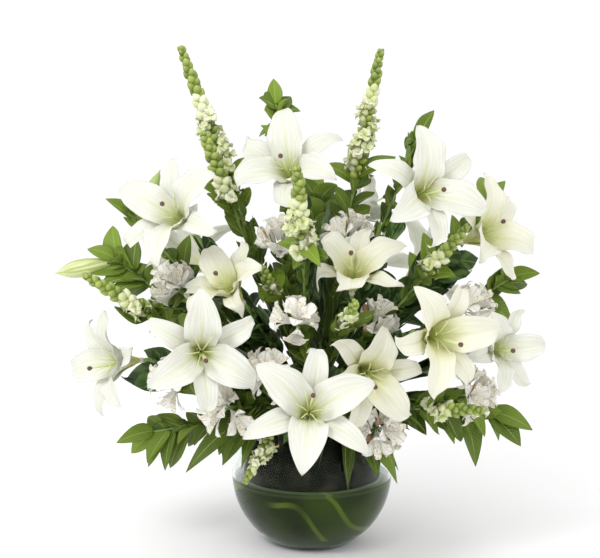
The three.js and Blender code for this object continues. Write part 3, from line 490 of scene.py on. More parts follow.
def tube_part(path, radii, sides, finish, tone=0.5):
    """Circles round a path: centre + r (cos t side + sin t third), the side carried along the path."""
    path, radii = np.array(path, float), np.array(radii, float)
    ahead = unit(np.gradient(path, axis=0))
    side = facing_frame(ahead[0])[0]
    sides_along = []
    for axis in ahead:
        side = unit(side - axis * (side @ axis))
        sides_along.append(side)
    side = np.array(sides_along)
    third = np.cross(ahead, side)
    turn = np.linspace(0, 2 * np.pi, sides, endpoint=False)
    circle = np.cos(turn)[None, :, None] * side[:, None] + np.sin(turn)[None, :, None] * third[:, None]
    rings = path[:, None] + radii[:, None, None] * circle
    along = np.linspace(0, 1, len(path))
    return ring_part(rings, path[0], path[-1], along, np.abs(turn / np.pi - 1), finish, tone)


def fill(group, key, values, kind):
    """Writes one value for each row of a mesh's points, corners or faces, which are added first."""
    if len(group) < len(values):
        group.add(len(values))
    group.foreach_set(key, values.astype(kind).ravel())


def build(name, parts, node):
    """Joins parts into one object that stands for a CAD node, with the finishes they name."""
    points = np.concatenate([part["points"] for part in parts]) * MM
    starts = np.cumsum([0] + [len(part["points"]) for part in parts])
    quads, fans = (
        np.concatenate([part[kind] + start for part, start in zip(parts, starts)])
        for kind in ("quads", "fans")
    )
    names = list(dict.fromkeys(part["finish"] for part in parts))
    finish = np.concatenate([
        np.full(len(part[kind]), names.index(part["finish"]))
        for kind in ("quads", "fans") for part in parts
    ])
    corners = np.concatenate([quads.ravel(), fans.ravel()])
    sizes = np.concatenate([np.full(len(quads), 4), np.full(len(fans), 3)])
    mesh = bpy.data.meshes.new(name)
    fill(mesh.vertices, "co", points, np.float32)
    fill(mesh.loops, "vertex_index", corners, np.int32)
    fill(mesh.polygons, "loop_start", np.concatenate([[0], np.cumsum(sizes)[:-1]]), np.int32)
    fill(mesh.polygons, "material_index", finish, np.int32)
    fill(mesh.polygons, "use_smooth", np.full(len(sizes), True), bool)
    uv = np.concatenate([part["uv"] for part in parts])
    fill(mesh.uv_layers.new(name="petal").data, "uv", uv[corners], np.float32)
    tone = np.concatenate([np.full(len(part["points"]), part["tone"]) for part in parts])
    fill(mesh.attributes.new("tone", "FLOAT", "POINT").data, "value", tone, np.float32)
    mesh.update(calc_edges=True)
    for finish_name in names:
        mesh.materials.append(bpy.data.materials[finish_name])
    thing = bpy.data.objects.new(name, mesh)
    scene.collection.objects.link(thing)
    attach(thing, "root")
    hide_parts(node)
    return thing


def build_each(things, maker, piece, node):
    """One object for each flower, made by maker(flower, number), with numbers from 1."""
    points = 0
    for number, flower in enumerate(things, 1):
        thing = build(f"{piece}_{number:02d}", maker(flower, number), f"{node}_{number:02d}")
        points += len(thing.data.vertices)
    print(len(things), "of", piece, "with", points, "points")


# %% [markdown]
# ## Finishes
# Petals and leaves are thin and a little see-through, with a soft shine. Their colours follow the
# two UV numbers: along the petal for the throat, across it for the midrib and veins. The tone
# moves each leaf's green a little, and on leaves down a stem it also paints shade, darker towards
# the foam.

# %% Material helpers
def new_finish(name, colour, roughness, **plain):
    """A Principled material with plain values on its own sockets."""
    finish = bpy.data.materials.new(name)
    finish.use_nodes = True
    shader = finish.node_tree.nodes["Principled BSDF"]
    shader.inputs["Base Color"].default_value = (*colour, 1.0)
    shader.inputs["Roughness"].default_value = roughness
    for socket, value in plain.items():
        shader.inputs[socket.replace("_", " ")].default_value = value
    return finish


class Nodes:
    """A new finish, and short ways to add its nodes."""

    def __init__(self, *finish, **plain):
        self.tree = new_finish(*finish, **plain).node_tree
        self.shader = self.tree.nodes["Principled BSDF"]
        self.uv = self.add("ShaderNodeUVMap", uv_map="petal").outputs[0]
        self.place = self.add("ShaderNodeTexCoord").outputs["Object"]
        self.tone = self.add("ShaderNodeAttribute", attribute_name="tone").outputs["Fac"]
        self.along, self.across = self.add("ShaderNodeSeparateXYZ", Vector=self.uv).outputs[:2]

    def set(self, socket, value):
        """Another node's output is linked to the socket, and a plain value is written on it."""
        if hasattr(value, "is_output"):
            self.tree.links.new(value, socket)
        else:
            socket.default_value = value

    def add(self, kind, **settings):
        """A node. Names in lower case are its settings, and names with a capital its sockets."""
        node = self.tree.nodes.new(kind)
        for key, value in settings.items():
            if key.islower():
                setattr(node, key, value)
            else:
                self.set(node.inputs[key.replace("_", " ")], value)
        return node

    def math(self, operation, first, second=0.0):
        """The operation on first, or on first and second."""
        node = self.add("ShaderNodeMath", operation=operation)
        self.set(node.inputs[0], first)
        self.set(node.inputs[1], second)
        return node.outputs[0]

    def times(self, first, second):
        """first * second."""
        return self.math("MULTIPLY", first, second)

    def plus(self, first, second):
        """first + second."""
        return self.math("ADD", first, second)

    def off_rib(self):
        """Distance from the midrib: |across - 0.5|."""
        return self.math("ABSOLUTE", self.math("SUBTRACT", self.across, 0.5))

    def range(self, value, low, high, out_low=0.0, out_high=1.0):
        """A smooth step from out_low to out_high as value goes from low to high."""
        node = self.add("ShaderNodeMapRange", interpolation_type="SMOOTHSTEP")
        for socket, part in zip(node.inputs, (value, low, high, out_low, out_high)):
            self.set(socket, part)
        return node.outputs[0]

    def mix(self, share, first, second):
        """first to second by share."""
        node = self.add("ShaderNodeMix", data_type="RGBA", Factor=share)
        for socket, colour in ((node.inputs[6], first), (node.inputs[7], second)):
            self.set(socket, colour if hasattr(colour, "is_output") else (*colour, 1.0))
        return node.outputs[2]

    def noise(self, scale, detail=3.0, stretch=None):
        """Noise on object coordinates, or on the UV map stretched along and across."""
        start, size = (self.uv, (*stretch, 1.0)) if stretch else (self.place, (1.0, 1.0, 1.0))
        mapped = self.add("ShaderNodeMapping", Vector=start, Scale=size).outputs[0]
        return self.add("ShaderNodeTexNoise", Vector=mapped, Scale=scale, Detail=detail).outputs["Fac"]

    def bump(self, height, distance, strength=1.0):
        """Relief: the normal follows height, where 1 stands distance metres off the surface."""
        node = self.add("ShaderNodeBump", Strength=strength, Distance=distance, Height=height)
        self.set(self.shader.inputs["Normal"], node.outputs[0])

    def colour(self, share, first, second):
        """The surface goes from the first colour to the second by share."""
        self.set(self.shader.inputs["Base Color"], self.mix(share, first, second))


# %% Petal finishes
THIN = {"Subsurface_Weight": 0.35, "Subsurface_Radius": (1.0, 1.0, 0.8), "Subsurface_Scale": 0.006}
nodes = Nodes("lily_white", (0.9, 0.9, 0.87), 0.5, **THIN)
rib = nodes.range(nodes.off_rib(), 0.0, 0.07, 1.0, 0.0)
throat = nodes.range(nodes.along, 0.08, nodes.plus(nodes.times(nodes.tone, 0.35), 0.4), 1.0, 0.0)
veins = nodes.noise(1.0, 2.0, stretch=(2.0, 46.0))
white = nodes.mix(nodes.range(veins, 0.4, 0.65), (0.63, 0.64, 0.56), (0.77, 0.775, 0.72))
creamy = nodes.mix(nodes.times(nodes.tone, 0.55), white, (0.82, 0.79, 0.58))
greened = nodes.mix(nodes.times(throat, 0.9), creamy, (0.62, 0.62, 0.15))
rib_share = nodes.times(rib, nodes.range(nodes.along, 0.1, 0.95, 0.7, 0.15))
nodes.colour(rib_share, greened, (0.58, 0.64, 0.27))
nodes.bump(veins, 0.0006, 0.5)

nodes = Nodes("filament_green", (0.62, 0.74, 0.38), 0.45)
nodes.colour(nodes.range(nodes.along, 0.1, 0.9), (0.40, 0.50, 0.12), (0.66, 0.72, 0.36))

nodes = Nodes("stigma_brown", (0.10, 0.055, 0.045), 0.5)
nodes.colour(nodes.noise(700.0, 2.0), (0.05, 0.02, 0.025), (0.16, 0.08, 0.06))

nodes = Nodes("snapdragon_cream", (0.75, 0.75, 0.5), 0.55)
deep = nodes.range(nodes.along, 0.05, 0.7, 1.0, 0.0)
face = nodes.mix(nodes.tone, (0.58, 0.63, 0.30), (0.78, 0.78, 0.60))
nodes.colour(nodes.times(deep, 0.75), face, (0.46, 0.53, 0.12))

nodes = Nodes("bud_green", (0.3, 0.42, 0.08), 0.5)
tip = nodes.range(nodes.along, 0.45, 1.0)
green = nodes.mix(nodes.tone, (0.09, 0.15, 0.014), (0.28, 0.36, 0.05))
nodes.colour(nodes.times(tip, 0.4), green, (0.54, 0.60, 0.20))

nodes = Nodes("alstroemeria_outer", (0.82, 0.79, 0.76), 0.5, **THIN)
blush = nodes.noise(1.0, 2.0, stretch=(3.0, 14.0))
cream = nodes.mix(nodes.range(blush, 0.5, 0.85), (0.93, 0.92, 0.84), (0.86, 0.74, 0.66))
rib = nodes.range(nodes.off_rib(), 0.01, 0.08, 1.0, 0.0)
keel = nodes.times(rib, nodes.range(nodes.along, 0.45, 0.98, 0.0, 0.7))
nodes.colour(keel, cream, (0.45, 0.24, 0.15))

nodes = Nodes("alstroemeria_inner", (0.84, 0.81, 0.72), 0.5, **THIN)
streaks = nodes.range(nodes.noise(1.0, 0.0, stretch=(11.0, 24.0)), 0.61, 0.66)
rise, fall = nodes.range(nodes.along, 0.4, 0.5), nodes.range(nodes.along, 0.82, 0.95, 1.0, 0.0)
middle = nodes.times(rise, fall)
yellow = nodes.mix(nodes.times(middle, 0.3), (0.92, 0.90, 0.83), (0.86, 0.76, 0.40))
nodes.colour(nodes.times(streaks, middle), yellow, (0.13, 0.035, 0.02))

nodes = Nodes("alstroemeria_bud", (0.6, 0.35, 0.25), 0.5)
flush = nodes.mix(nodes.tone, (0.62, 0.42, 0.30), (0.36, 0.14, 0.07))
nodes.colour(nodes.range(nodes.along, 0.0, 0.55, 1.0, 0.0), flush, (0.30, 0.36, 0.12))
print(len(bpy.data.materials), "finishes, the floor's among them")

# %% Leaf and stem finishes
def leaf_finish(name, dark, light, vein, vein_scale):
    """A glossy leaf: near-black to light green by tone, a pale midrib and faint side veins. A low tone
    is painted shade on leaves deep in the bunch.
    """
    nodes = Nodes(name, light, 0.42, Specular_IOR_Level=0.22)
    off_rib = nodes.off_rib()
    rib = nodes.range(off_rib, 0.0, 0.045, 1.0, 0.0)
    slanted = nodes.plus(nodes.along, nodes.times(off_rib, -0.5))
    waves = nodes.math("SINE", nodes.times(slanted, vein_scale))
    side_veins = nodes.range(waves, 0.8, 1.0)
    mottled = nodes.plus(nodes.times(nodes.tone, 0.75), nodes.times(nodes.noise(28.0, 3.0), 0.25))
    veined = nodes.mix(nodes.times(side_veins, 0.25), nodes.mix(mottled, dark, light), vein)
    nodes.colour(nodes.times(rib, 0.6), veined, vein)
    nodes.bump(waves, 0.0004, 0.35)


leaf_finish("leaf_green", (0.009, 0.026, 0.004), (0.22, 0.33, 0.03), (0.36, 0.46, 0.12), 80.0)
leaf_finish("lily_leaf_green", (0.007, 0.020, 0.004), (0.09, 0.18, 0.030), (0.22, 0.36, 0.10), 6.0)
nodes = Nodes("lily_bud_green", (0.6, 0.62, 0.3), 0.45)
pale = nodes.mix(nodes.tone, (0.30, 0.42, 0.10), (0.66, 0.66, 0.36))
stripes = nodes.range(nodes.noise(1.0, 1.0, stretch=(1.5, 9.0)), 0.45, 0.6)
nodes.colour(stripes, pale, (0.36, 0.46, 0.13))
nodes = Nodes("stem_green", (0.20, 0.32, 0.09), 0.5)
nodes.colour(nodes.noise(60.0, 2.0), (0.13, 0.24, 0.05), (0.28, 0.40, 0.12))
print(len(bpy.data.materials), "finishes with the leaves and stems")

# %% [markdown]
# ## Lilies
# A lily's petal leaves the bloom's axis slowly, then rolls back at the tip. It could be a bent
# plane, but its edges also rise into a shallow trough and ripple. So its midrib is walked in even
# steps, each leaning further out, and the sides follow from the midrib.

# %% Lily petals
MIDRIB_STEPS, FREE_STEPS, LEAN_POWER = 20, 3, 1.8
FIRST_LEAN, MORE_LEAN, RIPPLE = (10, 17), (122, 140), (3.8, 1.8)
PETAL_ROWS, PETAL_COLUMNS = 30, 13


def lily_petals(lily, number):
    """Three broad petals and, between them, three narrow ones, all slightly different."""
    place = np.arange(6)
    broad = place % 2 == 0
    return {
        "length": LILY_TEPAL * lily["size"] * np.where(broad, 1.0, 0.97),
        "width": lily["size"] * np.where(broad, PETAL_WIDTH, SEPAL_WIDTH),
        "roll": lily["roll"] + 60 * place + 8 * (draw(number * 7 + place) - 0.5),
        "first": np.where(broad, *FIRST_LEAN),
        "open": np.where(broad, *MORE_LEAN) + 20 * (draw(number * 5 + place) - 0.5),
        "twist": 0.2 * (draw(number * 13 + place) - 0.5),
        "ripple": np.where(broad, *RIPPLE),
    }


def lily_midribs(lily, cell, petals):
    """All six midribs at once. Step k leans first + open ((k + 0.5) / 20)^1.8 degrees off the
    axis. After the first three steps it turns where a wall is near, and keeps its length."""
    outward = off_axis(lily["axis"], 90, petals["roll"])
    stride = (petals["length"] / MIDRIB_STEPS)[:, None]
    here = lily["base"] + 3 * outward
    midribs = [here]
    for step in range(MIDRIB_STEPS):
        share = ((step + 0.5) / MIDRIB_STEPS) ** LEAN_POWER
        lean = np.radians(petals["first"] + petals["open"] * share)[:, None]
        ahead = here + stride * (np.sin(lean) * outward + np.cos(lean) * lily["axis"])
        turned = here + stride * unit(bend_clear(cell, ahead) - here)
        here = ahead if step < FREE_STEPS else bend_clear(cell, turned)
        midribs.append(here)
    return np.array(midribs).transpose(1, 0, 2)


def lily_petal(lily, cell, petals, midribs, place, number):
    """Middle surface: midrib + half(u) v sideways + half v (0.3 v + twist) inward, with
    half = w/2 sin(pi u^1.2)^0.95, a groove along the midrib and a ripple that grows to the edge."""
    u = np.linspace(0, 1, PETAL_ROWS)
    rib = smooth_path(midribs[place], PETAL_ROWS)
    v = crosswise(PETAL_COLUMNS)[None, :]
    half = (petals["width"][place] / 2 * np.sin(np.pi * u ** 1.2) ** 0.95)[:, None]
    sideways = off_axis(lily["axis"], 90, petals["roll"][place] - 90)
    length = np.gradient(rib, axis=0)
    inward = unit(np.cross(np.broadcast_to(sideways, length.shape), length))
    grid = rib[:, None] + (half * v)[..., None] * sideways
    phase = 6.28 * draw(number * 3 + place + np.array([0, 50]))
    swell = np.sin(np.pi * u)[:, None]
    ripple = np.sin(23 * u[:, None] + phase[0] + (v > 0) * phase[1]) * np.abs(v) ** 3 * swell ** 0.7
    groove = -1.6 * np.exp(-(v / 0.16) ** 2) * swell ** 0.6
    lift = half * v * (0.3 * v + petals["twist"][place]) + petals["ripple"][place] * ripple + groove
    return bend_clear(cell, grid + lift[..., None] * inward[:, None])


print("a broad petal's tip leans", FIRST_LEAN[0] + MORE_LEAN[0], "degrees off the bloom's axis")

# %% Whole blooms
# The numbers of the lilies that are a little warmer than the others.
CREAMY_LILIES = (3, 5, 6, 10, 11)
CREAMY_TONE, WHITE_TONE = 0.8, 0.15
FILAMENT_RADII = [1.3, 1.3, 1.2, 1.2, 1.1, 1.0, 0.9, 0.8, 0.5]
STIGMA_SHAPE = np.array([(-1.0, 1.5), (0.5, 2.6), (2.5, 3.5), (5.0, 3.3), (6.5, 1.5)])


def lily_bloom(lily, number):
    """Six petals, six filaments that curve apart, and a longer style with a dark stigma."""
    cell = split_cell(lily["cell"], lily["axis"], lily["base"])
    petals = lily_petals(lily, number)
    midribs = lily_midribs(lily, cell, petals)
    tone = CREAMY_TONE if number in CREAMY_LILIES else WHITE_TONE
    parts = [
        sheet_part(lily_petal(lily, cell, petals, midribs, place, number), 1.5, "lily_white", tone)
        for place in range(6)
    ]
    size, axis, base = lily["size"], lily["axis"], lily["base"]
    start = base + 6 * axis
    foot = [base - LILY_FOOT * axis, base - 2 * axis, start]
    parts.append(tube_part(foot, [3.4, 4.6, 3.0], 12, "lily_white"))
    for place in range(6):
        roll = lily["roll"] + 30 + 60 * place
        middle = start + 40 * size * off_axis(axis, 6, roll)
        end = middle + 34 * size * off_axis(axis, 26 + 10 * draw(number + place), roll)
        path = smooth_path([start, middle, end], len(FILAMENT_RADII))
        parts.append(tube_part(path, FILAMENT_RADII, 6, "filament_green"))
    style = off_axis(axis, 6, lily["roll"] + 180)
    path = base + 2 * axis + np.linspace(0, 88, 8)[:, None] * size * style
    parts.append(tube_part(path, np.full(8, 1.5), 8, "filament_green"))
    knob = path[-1] + STIGMA_SHAPE[:, :1] * style
    parts.append(tube_part(knob, STIGMA_SHAPE[:, 1], 9, "stigma_brown"))
    return parts


build_each(lilies, lily_bloom, "lily_bloom", "lily")

# %% [markdown]
# ## Leaves
# A leaf could be a flat cut-out, but a real one is folded along its midrib, arches up and then
# droops. One function gives them all: narrow ones for lilies and oval ones for sprigs.

# %% Leaves
LEAF_ROWS, LEAF_COLUMNS, LEAF_THICKNESS = 11, 7, 1.2
SPIRAL = 137.5


def leaf_part(cell, line, root, direction, length, width, droop, finish, tone):
    """Middle surface: root + L u direction - droop u^2 up + (0.06 L sin(pi u) + 0.35 half |v|) above
    + half v side, with half = w/2 sin(pi u^0.8)^0.85. Its face looks out along the stem's line, up,
    and to the nearer of front and back."""
    light = 0.5 * line + 0.4 * UP + np.array([0.0, 0.8 if line[1] > 0.3 else -0.8, 0.0])
    side = unit(np.cross(direction, light))
    above = np.cross(side, direction)
    u, v = np.meshgrid(np.linspace(0, 1, LEAF_ROWS), crosswise(LEAF_COLUMNS), indexing="ij")
    half = width / 2 * np.clip(np.sin(np.pi * u ** 0.8), 0, 1) ** 0.85
    lift = 0.06 * length * np.sin(np.pi * u) + 0.35 * half * np.abs(v)
    grid = root + length * u[..., None] * direction - (droop * u ** 2)[..., None] * UP
    grid = grid + lift[..., None] * above + (half * v)[..., None] * side
    middle = np.concatenate([grid[:1] * 0 + root, bend_clear(cell, grid[1:])])
    return sheet_part(middle, LEAF_THICKNESS, finish, tone)


def stem_leaves(
        cell, line, first, last, count, length, width, number, droop=14, light=0.1, finish="leaf_green"):
    """Leaves in a spiral of 137.5 degrees along a straight stem, from one reach to another, at 37 to
    73 degrees off it. Their tone rises from light towards the outer end, so they are painted darkest at
    the foam: painted shade deep in the bunch."""
    parts = []
    for place in range(count):
        chance = draw(number * 17 + place + np.array([0.0, 0.3, 0.6, 0.8]))
        root = FOCUS + line * (first + (last - first) * (place + 0.5) / count)
        roll = SPIRAL * place + 97 * number + 70 * chance[3]
        direction = off_axis(line, 55 + 36 * (chance[0] - 0.5), roll)
        size = 0.65 + 0.6 * chance[1]
        # Painted shade: the tone is lowest near the foam, so the leaves deep in the bunch come out
        # darkest.
        tone = light + 0.6 * chance[2] * (place + 1) / count
        sag = droop * (0.4 + 1.6 * chance[0])
        parts.append(leaf_part(
            cell, line, root, direction, length * size, width * size, sag, finish, tone))
    return parts


# %% [markdown]
# ## Lily stems
# Two lilies share a stem that forks inside the foam. Each branch swells under its bloom, and its
# narrow glossy leaves fill the space between the flowers with dark green, painted darker towards
# the foam as painted shade.

# %% Lily stems
STALK_SHARES, STALK_RADII = (0, 0.25, 0.6, 0.9, 1), (3.4, 3.2, 2.8, 2.7, 3.1)
STALK_STEPS = 24


def lily_branch(lily, fork, number):
    """A stalk through fork, line, neck and foot, with leaves that keep behind the bloom."""
    base, axis, line = lily["base"], lily["axis"], lily["heading"]
    leaf_cell = split_cell(lily["stem_cell"], -axis, base - 6 * axis)
    out = np.linalg.norm(base - FOCUS)
    neck, foot = base - LILY_NECK * axis, base - (LILY_FOOT + TOUCH) * axis
    places = [fork, FOCUS + FORK_END_REACH * line, FOCUS + 0.7 * out * line, neck, foot]
    path = smooth_path(places, STALK_STEPS)
    radii = np.interp(np.linspace(0, 1, STALK_STEPS), STALK_SHARES, STALK_RADII)
    parts = [tube_part(path, radii, 9, "stem_green")]
    for leaf in range(2):
        direction = off_axis(line, 55, 160 * leaf + 360 * draw((number - 1) * 3))
        root = FOCUS + out * (0.5 + 0.2 * leaf) * line
        tone = 0.6 * draw(number + leaf)
        parts.append(leaf_part(leaf_cell, line, root, direction, 92, 24, 12, "lily_leaf_green", tone))
    return parts + stem_leaves(
        leaf_cell, line, 80, 0.9 * out, 22, 98, 36, number, light=0.0, finish="lily_leaf_green")


for index, (first, second) in enumerate(LILY_STEMS):
    pair = [lilies[first - 1], lilies[second - 1]]
    fork = FOCUS + FORK_REACH * unit(pair[0]["heading"] + pair[1]["heading"])
    parts = lily_branch(pair[0], fork, first) + lily_branch(pair[1], fork, second)
    build(f"lily_green_{index + 1}", parts, f"lily_stem_{index + 1}")
print(len(LILY_STEMS), "forked stems")

# %% [markdown]
# ## Snapdragons
# The spike opens from below: frilled two-lipped florets at the bottom, then pale half-open ones,
# then hard green buds that crowd towards the tip. All sit in one spiral of 137.5 degrees.

# %% Snapdragon florets
FLORET_SPACING, LOBES, HALF_OPEN, TIP_LIMIT = 4.2, 5, 0.14, 0.967
SPIKE_STEPS = 60


def small_petal(cell, crown, axis, roll, out, depth, width, finish, curl, tone=0.5, rows=11, columns=7):
    """Midrib: crown + R u^1.7 outward + (H (1 - (1 - u)^1.6) - curl u^6) axis, broadest at two
    thirds, with sides that rise by 0.35 v^2 and ripple."""
    outward = off_axis(axis, 90, roll)
    sideways = np.cross(axis, outward)
    u, v = np.meshgrid(np.linspace(0, 1, rows), crosswise(columns), indexing="ij")
    half = width / 2 * np.sin(np.pi * u ** 1.7) ** 0.75
    ripple = 0.07 * width * np.sin(17 * u + roll) * v * np.abs(v) * u
    rise = depth * (1 - (1 - u) ** 1.6) - curl * u ** 6 + half * v ** 2 * 0.35 + ripple
    grid = crown + rise[..., None] * axis + (out * u ** 1.7)[..., None] * outward
    return sheet_part(bend_clear(cell, grid + (half * v)[..., None] * sideways), 1.0, finish, tone)


def floret_parts(cell, root, axis, number, size, tone):
    """A pouch about half of the floret long, and five frilled lobes round its mouth: three spread
    wide below and two stand up."""
    chance = draw(number + np.arange(12) * 0.7)
    mouth = bend_clear(cell, root + np.array([0.02, 0.2, 0.4, 0.52])[:, None] * size * axis)
    parts = [tube_part(mouth, np.array([0.08, 0.17, 0.22, 0.19]) * size, 8, "snapdragon_cream", tone)]
    crown = root + 0.42 * size * axis
    for lobe in range(LOBES):
        roll = 360 * chance[0] + 72 * lobe + 20 * (chance[lobe + 1] - 0.5)
        spread, depth = (0.5, 0.26 * size) if lobe < 3 else (0.34, 0.5 * size)
        out = size * spread * (0.85 + 0.3 * chance[lobe + 6])
        width, curl = 0.56 * size, 0.16 * size
        parts.append(small_petal(
            cell, crown, axis, roll, out, depth, width, "snapdragon_cream", curl, tone, 8, 5))
    return parts


def bud_part(cell, root, axis, length, radius, finish, tone):
    """An egg of radius r sin(pi u^0.85)^0.8 along its axis."""
    u = np.linspace(0.04, 0.97, 7)
    path = bend_clear(cell, root + length * u[:, None] * axis)
    return tube_part(path, radius * np.sin(np.pi * u ** 0.85) ** 0.8, 8, finish, tone)


def snapdragon(spike, number):
    """Along the flowering length, smaller towards the tip: open florets, with a small green bud at
    every third place, then half-open ones, then buds. Leaves follow at the spike's foot."""
    cell, length, opened = spike["cell"], spike["length"], spike["open"]
    stem = smooth_path(spike["path"], SPIKE_STEPS)
    total = np.linalg.norm(np.diff(stem, axis=0), axis=1).sum()
    parts = [tube_part(stem[:-2], np.linspace(3.0, 1.3, SPIKE_STEPS - 2), 8, "stem_green")]
    count = int(length / FLORET_SPACING) + 14
    ahead = unit(np.gradient(stem, axis=0))
    for place in range(count):
        share = place / (count - 1)
        at = min(1 - length * (1 - share) ** 1.1 / total, TIP_LIMIT) * (SPIKE_STEPS - 1)
        low = int(at)
        root = stem[low] + (at - low) * (stem[min(low + 1, SPIKE_STEPS - 1)] - stem[low])
        shrink = 1 - 0.45 * share - 0.3 * share ** 6
        size = 1.1 * spike["radius"] * shrink * (0.9 + 0.2 * draw(number * 31 + place))
        outward = off_axis(ahead[low], 62 - 38 * share, SPIRAL * place + 40 * number)
        tone = draw(number + place * 3)
        if share < opened and place % 3:
            parts += floret_parts(cell, root, outward, number * 37 + place, size, tone)
        else:
            pale = opened < share < opened + HALF_OPEN
            long, wide = (0.85, 0.3) if pale else (0.8, 0.31) if share > opened else (0.6, 0.2)
            finish = "snapdragon_cream" if pale else "bud_green"
            parts.append(bud_part(cell, root, outward, long * size, wide * size, finish, tone))
    start = np.linalg.norm(spike["path"][-1] - spike["path"][0]) + ROOT_REACH - length
    if "stem_cell" in spike:
        line, leaves = spike["heading"], int((start - 90) / 10)
        parts += stem_leaves(spike["stem_cell"], line, 82, start - 12, leaves, 70, 26, number + 40)
        parts += stem_leaves(cell, line, start - 25, start + 12, 4, 80, 28, number + 140, 16, 0.35)
    return parts


build_each(spikes, snapdragon, "snapdragon_spike", "snapdragon")

# %% [markdown]
# ## Alstroemeria
# Each head is a bunch of small trumpets on short stalks. The three outer petals are broad and
# blushed, and the three inner ones are narrow, with the brown dashes that guide bees.

# %% Alstroemeria heads
def straight_stem(line, last, root_radius, end_radius, count):
    """A round stem from the foam to the reach called last, as count circles."""
    stem = FOCUS + np.linspace(ROOT_REACH, last, count)[:, None] * line
    return tube_part(stem, np.linspace(root_radius, end_radius, count), 8, "stem_green")


UPRIGHT, LEANING = (8, 52), (46, 46)
OUTER_LOBE = (27, 0.85, 20, "alstroemeria_outer", 2)
INNER_LOBE = (23, 1, 11, "alstroemeria_inner", 5)


def alstroemeria(head, number):
    """One upright trumpet and, leaning out round it, one more than the CAD part's florets, with two
    buds between them and leaves down the stem."""
    cell, reach, roll, line = head["cell"], head["reach"], head["roll"], head["heading"]
    crown = FOCUS + line * (reach - HEAD_DEPTH)
    parts = [straight_stem(line, reach - HEAD_DEPTH + 3, 2.7, 3.0, 12)]
    around = head["florets"] + 1
    for place in range(around + 1):
        tilt, depth = LEANING if place else UPRIGHT
        steps = max(place - 1, 0)
        axis = off_axis(line, tilt + 26 * (steps % 2), roll + 360 * steps / around)
        spin = 360 * draw(number * 11 + place)
        for lobe in range(6):
            out, high, width, finish, curl = INNER_LOBE if lobe % 2 else OUTER_LOBE
            turn = spin + 60 * lobe
            parts.append(small_petal(cell, crown, axis, turn, out, high * depth, width, finish, curl))
    for place in range(2):
        axis = off_axis(line, 34 + 30 * draw(number + place), roll + 360 * (place + 0.5) / around)
        stalk = crown + np.linspace(0, 22, 5)[:, None] * axis
        parts.append(tube_part(bend_clear(cell, stalk), np.full(5, 1.2), 6, "stem_green"))
        tone = draw(number * 3 + place)
        parts.append(bud_part(cell, crown + 20 * axis, axis, 20, 5, "alstroemeria_bud", tone))
    root, leaf = crown - 16 * line, off_axis(line, 68, roll + 60)
    parts.append(leaf_part(head["stem_cell"], line, root, leaf, 52, 13, 6, "leaf_green", 0.4))
    leaves = int((reach - 100) / 8)
    return parts + stem_leaves(head["stem_cell"], line, 82, reach - 56, leaves, 74, 32, number + 60)


build_each(heads, alstroemeria, "alstroemeria_head", "alstroemeria")

# %% [markdown]
# ## Leafy sprigs
# Woody sprigs with oval leaves fill the outline between the flowers. The CAD part has every
# leaf at the tips; here more of them follow down the stem.

# %% Sprigs
def leafy_sprig(sprig, number):
    """The CAD part's leaves, more of them down to the foam, and six more at the tip. Two sprigs
    also carry a lily's bud, broadest above its middle."""
    cell, length, width, line = sprig["cell"], sprig["length"], sprig["width"], sprig["heading"]
    last = sprig["reach"] - 0.8 * length
    parts = [straight_stem(line, last, 2.4, 1.5, 14)]
    first = max(110, last - LEAF_PITCH * sprig["leaves"])
    darkest = 0.0 if sprig["droop"] > 30 else 0.35
    for place in range(sprig["leaves"]):
        share = place / (sprig["leaves"] - 1)
        root = FOCUS + line * (first + (last - 2 - first) * share)
        direction = off_axis(line, 12 if share == 1 else 58 - 14 * share, SPIRAL * place + 60 * number)
        size = 0.85 + 0.3 * draw(number * 19 + place)
        tone = darkest + 0.65 * draw(number * 7 + place)
        sizes = length * size, width * size, sprig["droop"]
        parts.append(leaf_part(cell, line, root, direction, *sizes, "leaf_green", tone))
    low_leaves, broad = int((last - 84) / 12), 1.15 * width
    parts += stem_leaves(cell, line, 84, last, low_leaves, 0.9 * length, broad, number + 80)
    parts += stem_leaves(cell, line, last - 60, last, 6, 0.95 * length, broad, number + 120, 6, 0.35)
    if sprig["bud"] is not None:
        root, tip = sprig["bud"][[0, -1]]
        share = np.linspace(0, 1, 24)
        swell = (0.2 + 0.8 * np.sin(np.pi * share ** 1.35) ** 0.8) * (1 - share ** 9)
        path = bend_clear(cell, root + share[:, None] * (tip - root))
        radii = np.maximum(SPRIG_BUDS[number][4] * swell, 0.4)
        parts.append(tube_part(path, radii, 18, "lily_bud_green", 0.15 if number == 3 else 0.9))
    return parts


build_each(sprigs, leafy_sprig, "leafy_sprig", "sprig")

# %% [markdown]
# ## Bowl, water, leaf liner and foam
# The bowl is blown glass, so its wall is turned smooth and its rim is rounded. One folded band of
# leaf lines it and hides the foam, and the water makes the band look as wide as the glass. Glass
# and water mirror little here, because a bright even room would turn them milky.

# %% Turned bodies
BOWL_WALL, BOWL_FLOOR, RIM_Z, WATER_Z = 3.5, 8.0, 200.0, 107.0
LINER = np.array([(26, 82), (60, 100), (110, 107), (150, 104), (180, 92), (196, 79.5)], float)
CLEAR = {"Transmission_Weight": 1.0, "Specular_Tint": (0.08, 0.08, 0.08, 1.0)}


def turned_part(profile, sides, finish, wobble=None):
    """A closed profile of (radius, height) carried round Z. The profile's first and last points
    lie near the axis, or meet to close a ring."""
    profile = np.array(profile, float)
    turn = np.linspace(0, 2 * np.pi, sides, endpoint=False)
    radius = np.broadcast_to(profile[:, :1], (len(profile), sides))
    if wobble is not None:
        radius = radius + wobble(profile[:, 1:], turn[None, :])
    height = np.broadcast_to(profile[:, 1:], radius.shape)
    rings = np.stack([radius * np.cos(turn), radius * np.sin(turn), height], -1)
    along = np.linspace(0, 1, len(profile))
    start, end = np.array([0, 0, profile[0, 1]]), np.array([0, 0, profile[-1, 1]])
    return ring_part(rings, start, end, along, np.abs(turn / np.pi - 1), finish)


